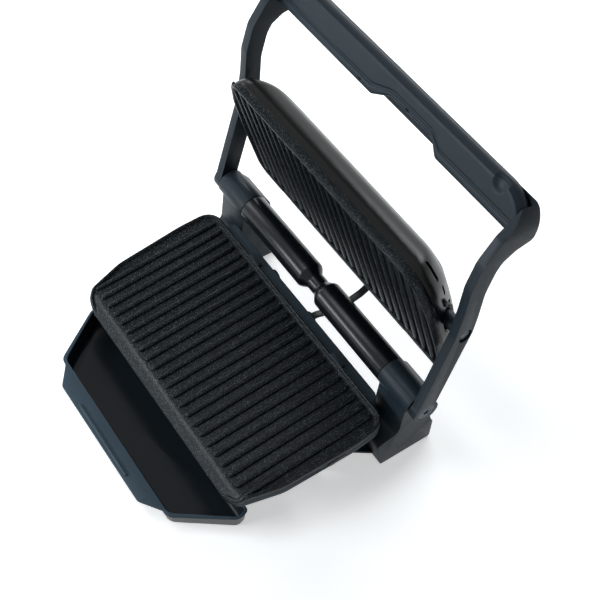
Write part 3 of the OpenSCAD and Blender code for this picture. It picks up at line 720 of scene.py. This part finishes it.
# Softboxes as (name, place, size, watts), all aimed at the grill's middle
SOFTBOXES = [("back_softbox", (-0.95, 1.35, 1.15), (1.8, 0.2), 28.0),
             ("top_softbox", (-0.6, -0.7, 1.9), (0.8, 0.8), 10.0),
             ("front_softbox", (-0.7, -1.7, 0.7), (1.3, 0.4), 30.0),
             ("side_softbox", (1.9, 0.3, 0.8), (0.3, 1.2), 2.5),
             ("left_softbox", (-1.8, -0.5, 0.7), (0.4, 1.2), 8.0)]
AIM = Vector((0, 0, 0.1))
DAYLIGHT = (0.92, 0.97, 1.0)
# Distances from the grill in metres between which the table's own glow doubles
GLOW_NEAR = 0.5
GLOW_FAR = 2.5


class GRILL_OT_stage(bpy.types.Operator):
    """Sets the camera, the soft studio light and the pale floor"""
    bl_idname = "grill.stage"
    bl_label = "Stage"

    def execute(self, context):
        scene = context.scene
        scene.view_settings.view_transform = "Standard"
        scene.camera = self.make_camera()
        for name, place, size, watts in SOFTBOXES:
            light = bpy.data.lights.new(name, "AREA")
            light.shape = "RECTANGLE"
            light.size, light.size_y = size
            light.energy = watts
            light.color = DAYLIGHT
            lamp = linked(name, light)
            lamp.location = place
            lamp.rotation_euler = (AIM - Vector(place)).to_track_quat("-Z", "Y").to_euler()
        self.make_world(scene)
        self.make_floor()
        return {"FINISHED"}

    def make_camera(self):
        """The camera at the photo's viewing angle."""
        camera = bpy.data.cameras.new("photo_camera")
        camera.lens = FOCAL_LENGTH
        camera.sensor_width = 36
        holder = linked("photo_camera", camera)
        turn = Matrix((TO_THE_RIGHT, -DOWNWARDS, -AHEAD)).transposed().to_4x4()
        holder.matrix_world = Matrix.Translation(CAMERA_PLACE) @ turn
        return holder

    def make_world(self, scene):
        """White where it is seen straight or in a mirror, and a dim sky as light."""
        world = bpy.data.worlds.new("studio")
        tree = emptied(world)
        sky = add_node(tree, "ShaderNodeBackground", {"Color": (0.85, 0.93, 1.0, 1.0), "Strength": 0.1})
        white = add_node(tree, "ShaderNodeBackground", {"Color": (1, 1, 1, 1), "Strength": 1.0})
        both = add_node(tree, "ShaderNodeMixShader",
                        links={0: seen_straight(tree), 1: sky.outputs[0], 2: white.outputs[0]})
        add_node(tree, "ShaderNodeOutputWorld", links={"Surface": both.outputs[0]})
        scene.world = world

    def make_floor(self):
        """A white table top that fades into the background and keeps the grill's shadow."""
        mesh = bpy.data.meshes.new("table_top")
        far = 15.0
        mesh.from_pydata([(-far, -far, 0), (far, -far, 0), (far, far, 0), (-far, far, 0)], [], [(0, 1, 2, 3)])
        floor = linked("table_top", mesh)
        material = bpy.data.materials.new("white_laminate")
        tree = emptied(material)
        # white melamine board: matt, and lifted to white further away from the grill
        board = add_node(tree, "ShaderNodeBsdfDiffuse", {"Color": linear("#f4f4f3")})
        away = add_node(tree, "ShaderNodeVectorMath", {"operation": "LENGTH"},
                        {0: add_node(tree, "ShaderNodeTexCoord").outputs["Object"]})
        rise = add_node(tree, "ShaderNodeMapRange",
                        {"From Min": GLOW_NEAR, "From Max": GLOW_FAR, "To Min": 0.5, "To Max": 1.0},
                        {"Value": away.outputs["Value"]})
        glow = add_node(tree, "ShaderNodeEmission", {"Color": (1, 1, 1, 1)}, {"Strength": rise.outputs[0]})
        lift = add_node(tree, "ShaderNodeMixShader", links={0: seen_straight(tree), 2: glow.outputs[0]})
        both = add_node(tree, "ShaderNodeAddShader", links={0: board.outputs[0], 1: lift.outputs[0]})
        add_node(tree, "ShaderNodeOutputMaterial", links={"Surface": both.outputs[0]})
        dress(floor, material)


# ---- edges, hinge and handle
# The hinge barrel in mm; WAIST_FLAT is half the length of its waist's bottom
BARREL_END = 164.7
BARREL_RADIUS = 21.0
BARREL_MOUTH = 18.4
WAIST_END = 22.0
WAIST_FLAT = 6.6
WAIST_DEPTH = 7.7
# The arms' sides in mm from the middle
ARM_OUTSIDE = 241
ARM_INSIDE = 228
# The pivot cap as (depth under its face, radius, wave); the wave makes the driver's recess
CAP_PROFILE = [(2.5, 12.9, 0), (0.5, 12.9, 0), (0.1, 12.6, 0), (0, 12.2, 0), (0, 11.0, 0), (0.5, 10.7, 0),
               (0.5, 10.1, 0), (0, 9.8, 0), (0, 7.6, 0), (0.5, 7.3, 0), (0.5, 6.7, 0), (0, 6.4, 0),
               (0, 4.2, 0.9), (1.8, 4.0, 0.9)]
# The plug of the screw hole inside the left arm: its (y, z), and its (height over the wall, radius)
PLUG_PLACE = (-32, 7)
PLUG_PROFILE = [(-1.5, 2.4), (0.25, 2.4), (0.5, 2.1)]


def pivot_cap(side):
    """The round cap at one end of the hinge axis, with two ring grooves and a six-lobed recess."""
    rings = []
    for depth, radius, wave in CAP_PROFILE:
        rings.append([(side * (ARM_OUTSIDE - depth), *p) for p in circle(0, 0, radius, 72, wave)])
    return loft("pivot_cap", rings, AT_HINGE)


class GRILL_OT_hinge(bpy.types.Operator):
    """Turns the hinge barrel, the two pivot caps and the plug inside the left arm"""
    bl_idname = "grill.hinge"
    bl_label = "Hinge"

    def execute(self, context):
        profile = [(-BARREL_END, BARREL_MOUTH), (-BARREL_END, 19.6), (-BARREL_END + 0.5, 20.6),
                   (-BARREL_END + 1.4, BARREL_RADIUS)]
        for k in range(25):
            t = k / 24
            x = -WAIST_END + t * (WAIST_END - WAIST_FLAT)
            profile.append((x, BARREL_RADIUS - WAIST_DEPTH * smooth_step(0, 1, t)))
        profile += [(-x, r) for x, r in reversed(profile)]
        rings = [[(x, *p) for p in circle(0, 0, r, 96)] for x, r in profile]
        barrel = loft("barrel_moulded", rings, AT_HINGE)
        stand_in(barrel, "hinge_barrel")
        caps = joined("pivot_caps_turned", [pivot_cap(1), pivot_cap(-1)])
        by_angle(caps, 30)
        stand_in(caps, "pivot_caps")
        rings = [[(proud - ARM_INSIDE, *p) for p in circle(*PLUG_PLACE, r, 24)] for proud, r in PLUG_PROFILE]
        plug = dress(loft("arm_plug", rings, IN_ARM), housing_plastic())
        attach(plug, "arms")
        return {"FINISHED"}


class GRILL_OT_edges(bpy.types.Operator):
    """Rounds the edges of the moulded pieces that keep their plain form"""
    bl_idname = "grill.edges"
    bl_label = "Edges"

    def execute(self, context):
        edge = sizes().edge
        for width, segments, nodes in (
                (edge, 4, ["arm_left", "arm_right"]),
                (edge * 0.7, 3, ["leg_left", "leg_right", "handle_cover"]),
                (sizes().fine_edge, 2, ["feet_front", "feet_rear"]),
                (0.5 * MM, 2, ["pivot_bolts", "pivot_bosses", "cable_gland_lid", "cable_gland_base",
                               "mains_inlet"]),
                (0.4 * MM, 2, ["handle_screws", "lid_frame", "clips_lower", "clips_upper",
                               "release_lower", "release_upper", "base_shell", "base_pan"]),
                (0.35 * MM, 3, ["power_key", "thaw_key", "poultry_key", "fish_key", "steak_key",
                                "manual_key", "start_button"]),
                (0.3 * MM, 2, ["control_panel", "base_screws"])):
            for node in nodes:
                softened(node, width, segments)
        return {"FINISHED"}


# The handle's lower shell in the arms' frame: the edge of its underside with the finger recess, and the
# groove beside that edge
HANDLE_END = 228
HANDLE_START = -301
HANDLE_EDGE = rounded([(-228, -301, 0), (-31, -301, 6), (0, -319, 20), (79, -319, 14), (95, -301, 6),
                       (228, -301, 0)], 8)
HANDLE_GROOVE = rounded([(-228, -314, 0), (-34, -314, 24), (0, -328, 30), (77, -328, 20), (99, -314, 16),
                         (228, -314, 0)], 8)
GROOVE_DEPTH = 1.7
GROOVE_FLAT = 0.4
GROOVE_SIDE = 3.0
GROOVE_STEPS = (3.2, 2.4, 1.6, 0.9, 0.3, -0.3, -0.9, -1.6, -2.4, -3.2)
# The shells' seam, the ledge inside it and the round inner edge, and the underside's slope
SHELLS_MEET = 21.0
LEDGE_UNDER = 18.0
INNER_ROUND = 4.5
UNDER_RISE = 3
UNDER_RUN = 44
# Scoops with their half width, half length and depth, and slots as (x, y, depth)
SCOOPS = [(-190, -345), (190, -345)]
SCOOP_SIZE = (12.5, 15.0, 7.5)
SCOOP_BLEND = 0.35
UNDER_SLOTS = [(-54, -307.5, 2.4), (32, -324.0, 3.4)]
# The round corners of its plan, and how far inside the plan the flat underside ends
CORNER_X = 193
CORNER_Y = -304
CORNER_RADIUS = 47.85
FLAT_END = 10.3
# The outer edge as (distance inside the plan, height over the underside, depth of the seam), and the
# height at which groove and scoops have faded from it
OUTER_EDGE = [(9.2, 0.15, 0), (8.2, 0.4, 0), (7.5, 0.7, 0), (6.9, 1.0, 0), (6.5, 1.25, 0), (6.3, 1.4, 0.6),
              (6.1, 1.55, 0), (5.0, 2.7, 0), (4.4, 3.6, 0), (3.8, 4.4, 0), (2.9, 6.6, 0), (2.3, 8.4, 0),
              (2.0, 10.2, 0), (2.3, 12.6, 0), (3.6, 15.6, 0)]
TOP_INSIDE = 5.1
DETAIL_FADE = 9


def height_at(points, x):
    """The y of an open outline, whose points run along X, at a place x."""
    for a, b in zip(points, points[1:]):
        if x <= b.x:
            return a.y + (b.y - a.y) * (x - a.x) / max(b.x - a.x, 1e-6)
    return points[-1].y


def outer_edge(x, inside):
    """The y of the handle's outer edge, drawn inside by a distance, with its round corners."""
    past = max(0.0, abs(x) - CORNER_X)
    return CORNER_Y - math.sqrt((CORNER_RADIUS - inside) ** 2 - past * past)


def tilted(y):
    """The height of the handle's underside without its details."""
    return UNDER_RISE * (HANDLE_START - y) / UNDER_RUN


def underside(x, y):
    """The height of the handle's underside with its groove and its two scoops."""
    z = tilted(y)
    off = abs(y - height_at(HANDLE_GROOVE, x))
    z += GROOVE_DEPTH * (1 - smooth_step(GROOVE_FLAT, GROOVE_SIDE, off))
    wide, long, deep = SCOOP_SIZE
    for cx, cy in SCOOPS:
        inside = 1 - ((x - cx) / wide) ** 2 - ((y - cy) / long) ** 2
        if inside > 0:
            share = smooth_step(0.0, SCOOP_BLEND, inside)
            z = max(z, deep * math.sqrt(inside) * share + z * (1 - share))
    return z


def handle_section(x):
    """The (y, z) section of the handle's lower shell at x, from its inner wall round to its outer wall."""
    inner = height_at(HANDLE_EDGE, x)
    groove = height_at(HANDLE_GROOVE, x)
    points = [(HANDLE_START, SHELLS_MEET), (HANDLE_START, LEDGE_UNDER), (inner, LEDGE_UNDER),
              (inner, 9.0), (inner, 5.0)]
    for a in map(math.radians, (22, 45, 68, 90)):
        y = inner - INNER_ROUND * (1 - math.cos(a))
        points.append((y, underside(x, inner - INNER_ROUND) + INNER_ROUND * (1 - math.sin(a))))
    for off in GROOVE_STEPS:
        points.append((groove + off, underside(x, groove + off)))
    start = groove + GROOVE_STEPS[-1]
    stop = outer_edge(x, FLAT_END)
    for k in range(1, 11):
        y = start + (stop - start) * k / 10
        points.append((y, underside(x, y)))
    for inside, height, seam in OUTER_EDGE:
        y = outer_edge(x, inside)
        detail = underside(x, y) - tilted(y)
        left = 1 - smooth_step(0, DETAIL_FADE, height)
        points.append((y, tilted(y) + height + seam + detail * left))
    points.append((outer_edge(x, TOP_INSIDE), SHELLS_MEET))
    return [(x, y, z) for y, z in points]


class GRILL_OT_handle(bpy.types.Operator):
    """Forms the handle's lower shell with its groove, seam, scoops and slots"""
    bl_idname = "grill.handle"
    bl_label = "Handle"

    def execute(self, context):
        steps = 304
        rings = [handle_section(-HANDLE_END + 2 * HANDLE_END * k / steps) for k in range(steps + 1)]
        under = loft("handle_lower_moulded", rings, IN_ARM)
        slots = [prism("slot", slot_outline(x, y, 6, 1.8), -3, deep, IN_ARM) for x, y, deep in UNDER_SLOTS]
        cut_out(under, slots)
        by_angle(under, 38)
        stand_in(under, "handle_lower")
        return {"FINISHED"}


# ---- lid
def fitted(corners):
    """The same corners with their radii held back, so that neighbouring arcs never overlap."""
    points = [Vector(corner[:2]) for corner in corners]
    count = len(points)
    reach = []
    for i, corner in enumerate(corners):
        back, on = points[i - 1] - points[i], points[(i + 1) % count] - points[i]
        reach.append(corner[2] / math.tan(back.angle(on) / 2))
    held = []
    for i, (x, y, r) in enumerate(corners):
        after = (i + 1) % count
        share = min((points[i] - points[i - 1]).length / (reach[i] + reach[i - 1]),
                    (points[after] - points[i]).length / (reach[i] + reach[after]))
        held.append((x, y, r * min(1.0, 0.96 * share)))
    return held


def lid_outline(inset, cut):
    """The lid's plan drawn in by inset, and by cut more at its back."""
    front, side, shoulder, back = LID_CORNERS[:4]

    def corner(at, y):
        return (at[0] - inset, y, max(6.0, at[2] - inset * 0.35 + cut * 0.25))

    front_y = front[1] + inset
    back_y = back[1] - inset - cut
    corners = [corner(front, front_y), corner(side, min(side[1], front_y + 30)),
               corner(shoulder, min(shoulder[1], back_y - 40)), corner(back, back_y)]
    return resampled([Vector((0, front_y))] + rounded(fitted(mirrored(corners)), 12), 200)


# The lid's skin as (height, how far it is drawn in, how much more at its back)
LID_SECTIONS = [(SKIRT_TOP, 3, 0), (-6.9, 5, 0), (2.1, 10, 0), (11, 17, 4), (19, 26, 18), (24, 36, 38),
                (27.4, 47, 62)]
TOP_FALL = 0.6
LID_WALL = 3
# Openings in its side walls, cut from LID_SIDE to a depth in x
LID_SIDE = 225
POCKET = [(-16, -10, 6), (30, -10, 10), (30, 15, 12), (-16, 15, 10)]
VENTS = [(-82, 4, 25, 4), (-48, 7, 19, 3.4)]
VENT_DEPTH = 176
BUTTON_SLOT = (-30, 2, 15.8, 5.8)
BUTTON_DEPTH = 188
# The cable's hole in the back wall as (x, z, radius), and its reach in y
CABLE_HOLE = (35, -4, 10)
HOLE_REACH = (87, 125)


def lid_rings(wall):
    """The lid's skin drawn in by wall, from its edge to the middle of its top."""
    rings = []
    for z, inset, cut in spline_through(LID_SECTIONS, 5):
        share = (z - SKIRT_TOP) / (LID_TOP - SKIRT_TOP)
        rings.append(ring(lid_outline(inset + wall, cut), z - wall * share))
    last = rings[-1]
    middle = sum(p[1] for p in last) / len(last)
    for t in (0.86, 0.72, 0.58, 0.44, 0.3, 0.16, 0.03):
        z = LID_TOP - wall - TOP_FALL * t * t
        rings.append([(p[0] * t, middle + (p[1] - middle) * t, z) for p in last])
    return rings


class GRILL_OT_lid(bpy.types.Operator):
    """Forms the domed lid with its openings"""
    bl_idname = "grill.lid"
    bl_label = "Lid"

    def execute(self, context):
        shell = loft("lid_moulded", lid_rings(LID_WALL)[::-1] + lid_rings(0), IN_LID)
        cutters = []
        for side in (-1, 1):
            for outline in [rounded(POCKET, 6)] + [slot_outline(*vent) for vent in VENTS]:
                cutters.append(prism("cutter", outline, side * VENT_DEPTH, side * LID_SIDE, IN_LID, "X"))
        cutters.append(prism("cutter", slot_outline(*BUTTON_SLOT), BUTTON_DEPTH, LID_SIDE, IN_LID, "X"))
        hole = circle(*CABLE_HOLE, 32)
        cutters.append(loft("cutter", [[(x, y, z) for x, z in hole] for y in HOLE_REACH], IN_LID))
        cut_out(shell, cutters)
        shaded_smooth(shell.data)
        stand_in(shell, "lid_shell")
        round_edges(shell, 0.5 * MM, 2, 40)
        return {"FINISHED"}


# ---- cooking plates
# The lower plate's skin as (how far inside its plan, height): its underside, then its rim and floor
UNDER_ROWS = [(19.5, 0), (13.0, 0), (0.8, 0), (0.0, 0.8)]
RIM = PLATE_RIM - PLATE_FLOOR
RIM_ROWS = [(0.0, RIM - 0.9), (0.5, RIM - 0.25), (1.2, RIM), (2.6, RIM), (3.4, RIM - 0.4), (4.1, RIM - 1.6),
            (4.8, 1.6), (5.8, 0.5), (7.4, 0.08), (9.5, 0.0), (13.0, 0.0), (19.5, 0.0)]
# The rim ends in front of SPOUT_FRONT, between these distances from the middle
SPOUT_FRONT = -235
SPOUT_SIDES = (168, 178)
LOWER_RIBS = (199.5, IN_PLATE, -249, PLATE_FLOOR, 1)
# The upper plate's skin likewise, from its back over its skirt to its face
UPPER_ROWS = [(6, CEILING + 4), (4.2, CEILING + 4), (4, SKIRT_TOP - 0.5), (3.4, SKIRT_TOP), (0.7, SKIRT_TOP),
              (0, SKIRT_TOP - 0.7), (0, SKIRT_LOW + 0.9), (0.4, SKIRT_LOW + 0.25), (1.1, SKIRT_LOW),
              (3.0, SKIRT_LOW), (3.7, SKIRT_LOW + 0.4), (4.2, SKIRT_LOW + 1.4), (4.9, CEILING - 1.4),
              (6.0, CEILING - 0.4), (8.5, CEILING)]
UPPER_RIBS = (206.0, IN_LID, -98, CEILING, -1)
# The pieces of its rear rim in x and in y, and their skin
REAR_RIM = [(-200, -152), (-134, 134), (152, 200)]
REAR_RIM_Y = (111, 118.5)
REAR_RIM_ROWS = [(0.5, SKIRT_LOW), (0, SKIRT_LOW + 0.5), (0, SKIRT_LOW + 4.5), (0.5, SKIRT_LOW + 5)]


def plate_outline(inset):
    """The lower plate's plan, drawn in."""
    start = Vector((0, -267))
    return drawn_in(resampled([start] + rounded(PLATE_CORNERS, 12), 240), inset)


def pan_level(p, height):
    """The level of the lower plate's upper skin: it has no rim at the spout, and its apron falls."""
    left = smooth_step(*SPOUT_SIDES, abs(p.x)) if p.y < SPOUT_FRONT else 1.0
    return PLATE_FLOOR + height * left - apron_drop(p)


class GRILL_OT_plates(bpy.types.Operator):
    """Forms both cooking plates with their rims and ribs, and the apron of the lower one"""
    bl_idname = "grill.plates"
    bl_label = "Cooking plates"

    def execute(self, context):
        coating = nonstick_coating()
        rings = []
        for inset, height in UNDER_ROWS:
            rings.append([(p.x, p.y, PLATE_UNDER + height - apron_drop(p)) for p in plate_outline(inset)])
        for inset, height in RIM_ROWS:
            rings.append([(p.x, p.y, pan_level(p, height)) for p in plate_outline(inset)])
        pan = loft("plate_pan", rings, IN_PLATE)
        stand_in(joined("plate_lower_cast", [pan, rib_row(*LOWER_RIBS, coating)]), "plate_lower")
        outline = resampled([Vector((0, -105))] + rounded(LID_CORNERS, 12), 220)
        pan = loft("plate_pan", [ring(drawn_in(outline, inset), z) for inset, z in UPPER_ROWS], IN_LID)
        parts = [pan, rib_row(*UPPER_RIBS, coating)]
        front, back = REAR_RIM_Y
        for x0, x1 in REAR_RIM:
            strip = rounded([(x0, front, 1), (x1, front, 1), (x1, back, 3), (x0, back, 3)], 5)
            rings = [ring(drawn_in(strip, inset), z) for inset, z in REAR_RIM_ROWS]
            parts.append(loft("rear_rim", rings, IN_LID))
        stand_in(joined("plate_upper_cast", parts), "plate_upper")
        return {"FINISHED"}


# ---- cable and tray
# The cable's way in mm from the hinge, and the point where its two halves meet
CABLE_ROUTE = [(18, -24.5, -38.8), (18, -18, -38.1), (18, -10, -39.5), (18, 2, -44.5), (18, 16, -49),
               (19, 30, -48), (21, 44, -42), (25, 56, -31), (29, 64, -17), (33, 69, -2), (35, 70, 12),
               (35, 67, 25)]
HALVES_MEET = 7


def twin_cable(name, route):
    """A flat cable of two strands with a thin web, swept along a route with its width level."""
    strand = sizes().cable_strand / MM / 2
    section = []
    for side in (1, -1):
        for k in range(9):
            a = math.radians(-130 + 260 * k / 8)
            section.append((side * (strand + strand * math.cos(a)), side * strand * math.sin(a)))
    path = [Vector(p) for p in spline_through(route, 6)]
    level = Vector((1, 0, 0))
    rings = []
    for i, p in enumerate(path):
        along = (path[min(i + 1, len(path) - 1)] - path[max(i - 1, 0)]).normalized()
        wide = (level - along * level.dot(along)).normalized()
        high = along.cross(wide)
        rings.append([p + wide * a + high * b for a, b in section])
    return dress(loft(name, rings, AT_HINGE), cable_jacket())


class GRILL_OT_cable(bpy.types.Operator):
    """Sweeps the flat cable that runs from the base to the lid, behind the hinge"""
    bl_idname = "grill.cable"
    bl_label = "Cable"

    def execute(self, context):
        low = twin_cable("link_cable_low", CABLE_ROUTE[:HALVES_MEET + 1])
        high = twin_cable("link_cable_high", CABLE_ROUTE[HALVES_MEET:])
        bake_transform(low)
        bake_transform(high)
        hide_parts("link_cable")
        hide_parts("link_cable")
        return {"FINISHED"}


TRAY_CORNERS = mirrored([(142, -328, 20), (198, -252, 16), (192, -236, 5)])
FLANGE_CORNERS = mirrored([(104, -349, 8), (133, -328.5, 6), (144, -328.5, 14), (198, -252, 16),
                           (192, -236, 5)])
IN_TRAY = Matrix.Translation((0, HINGE.y, 0))
# The tray's skin as (how far inside its plan, height); the edge is in the flange's plan
INSIDE_ROWS = [(12.0, 2.5), (10.0, 2.7), (8.2, 3.6), (6.9, 5.8), (4.6, 26.0), (4.2, 28.6), (3.9, 29.4),
               (3.2, 29.9), (2.6, 30.0)]
EDGE_ROWS = [(1.1, 30.0), (0.3, 29.7), (0.0, 29.0), (0.0, 27.9), (0.3, 27.3), (1.1, 27.0)]
OUTSIDE_ROWS = [(1.6, 26.4), (4.0, 4.2), (5.2, 1.4), (7.2, 0.0)]
# Below this height the tray is polished and painted darker as shade
POLISHED_AND_SHADED_BELOW = 29.2
# The bar on its lip: half its length, its place in y and z, and its radius
LIP_BAR = (65, -343, 30, 2.2)


def lip_bar():
    """The round bar on the tray's lip, with its round ends."""
    half, y, z, radius = LIP_BAR
    rings = []
    for k in range(13):
        a = math.pi * k / 12
        x = (radius - half if k < 6 else half - radius) - radius * math.cos(a)
        rings.append([(x, *p) for p in circle(y, z, radius * max(math.sin(a), 0.02), 16)])
    return loft("ridge", rings, IN_TRAY)


class GRILL_OT_tray(bpy.types.Operator):
    """Forms the drip tray with its flange, its lip and the bar on the lip"""
    bl_idname = "grill.tray"
    bl_label = "Drip tray"

    def execute(self, context):
        wall = resampled([Vector((0, -328))] + rounded(TRAY_CORNERS, 10), 260)
        flange = resampled([Vector((0, -349))] + rounded(FLANGE_CORNERS, 10), 260)
        rings = []
        for plan, rows in ((wall, INSIDE_ROWS), (flange, EDGE_ROWS), (wall, OUTSIDE_ROWS)):
            rings += [ring(drawn_in(plan, inset), z) for inset, z in rows]
        tray = joined("drip_tray_moulded", [loft("tray_body", rings, IN_TRAY), lip_bar()])
        stand_in(tray, "drip_tray")
        # the faces below the flange get the polished nylon, darkened as painted shade
        tray.data.materials.append(polished_and_shaded_inside())
        for face in tray.data.polygons:
            if face.center.z < POLISHED_AND_SHADED_BELOW * MM:
                face.material_index = 1
        return {"FINISHED"}


class GRILL_OT_finish(bpy.types.Operator):
    """Gives every CAD piece its finish"""
    bl_idname = "grill.finish"
    bl_label = "Finishes"

    def execute(self, context):
        for node, obj in frame["nodes"].items():
            dress(obj, node_finish(node))
        return {"FINISHED"}


STEPS = [GRILL_OT_stage, GRILL_OT_finish, GRILL_OT_edges, GRILL_OT_hinge, GRILL_OT_handle, GRILL_OT_lid,
         GRILL_OT_plates, GRILL_OT_cable, GRILL_OT_tray]


class GRILL_PT_pieces(bpy.types.Panel):
    """Lists the grill's sizes, colours and steps"""
    bl_idname = "GRILL_PT_pieces"
    bl_label = "Indoor contact grill"
    bl_space_type = "VIEW_3D"
    bl_region_type = "UI"
    bl_category = "Grill"

    def draw(self, context):
        scene = context.scene
        for group in (scene.grill_sizes, scene.grill_colours):
            column = self.layout.column(align=True)
            for name in group.bl_rna.properties.keys():
                if name not in ("rna_type", "name"):
                    column.prop(group, name)
        for step in STEPS:
            self.layout.operator(step.bl_idname)


CLASSES = [GrillSizes, GrillColours, *STEPS, GRILL_PT_pieces]


def register():
    for cls in CLASSES:
        bpy.utils.register_class(cls)
    bpy.types.Scene.grill_sizes = PointerProperty(type=GrillSizes)
    bpy.types.Scene.grill_colours = PointerProperty(type=GrillColours)


def unregister():
    del bpy.types.Scene.grill_sizes
    del bpy.types.Scene.grill_colours
    for cls in reversed(CLASSES):
        bpy.utils.unregister_class(cls)


def main():
    register()
    for step in STEPS:
        group, name = step.bl_idname.split(".")
        if getattr(getattr(bpy.ops, group), name)() != {"FINISHED"}:
            raise RuntimeError(step.bl_label + " did not finish")


if __name__ == "__main__":
    main()
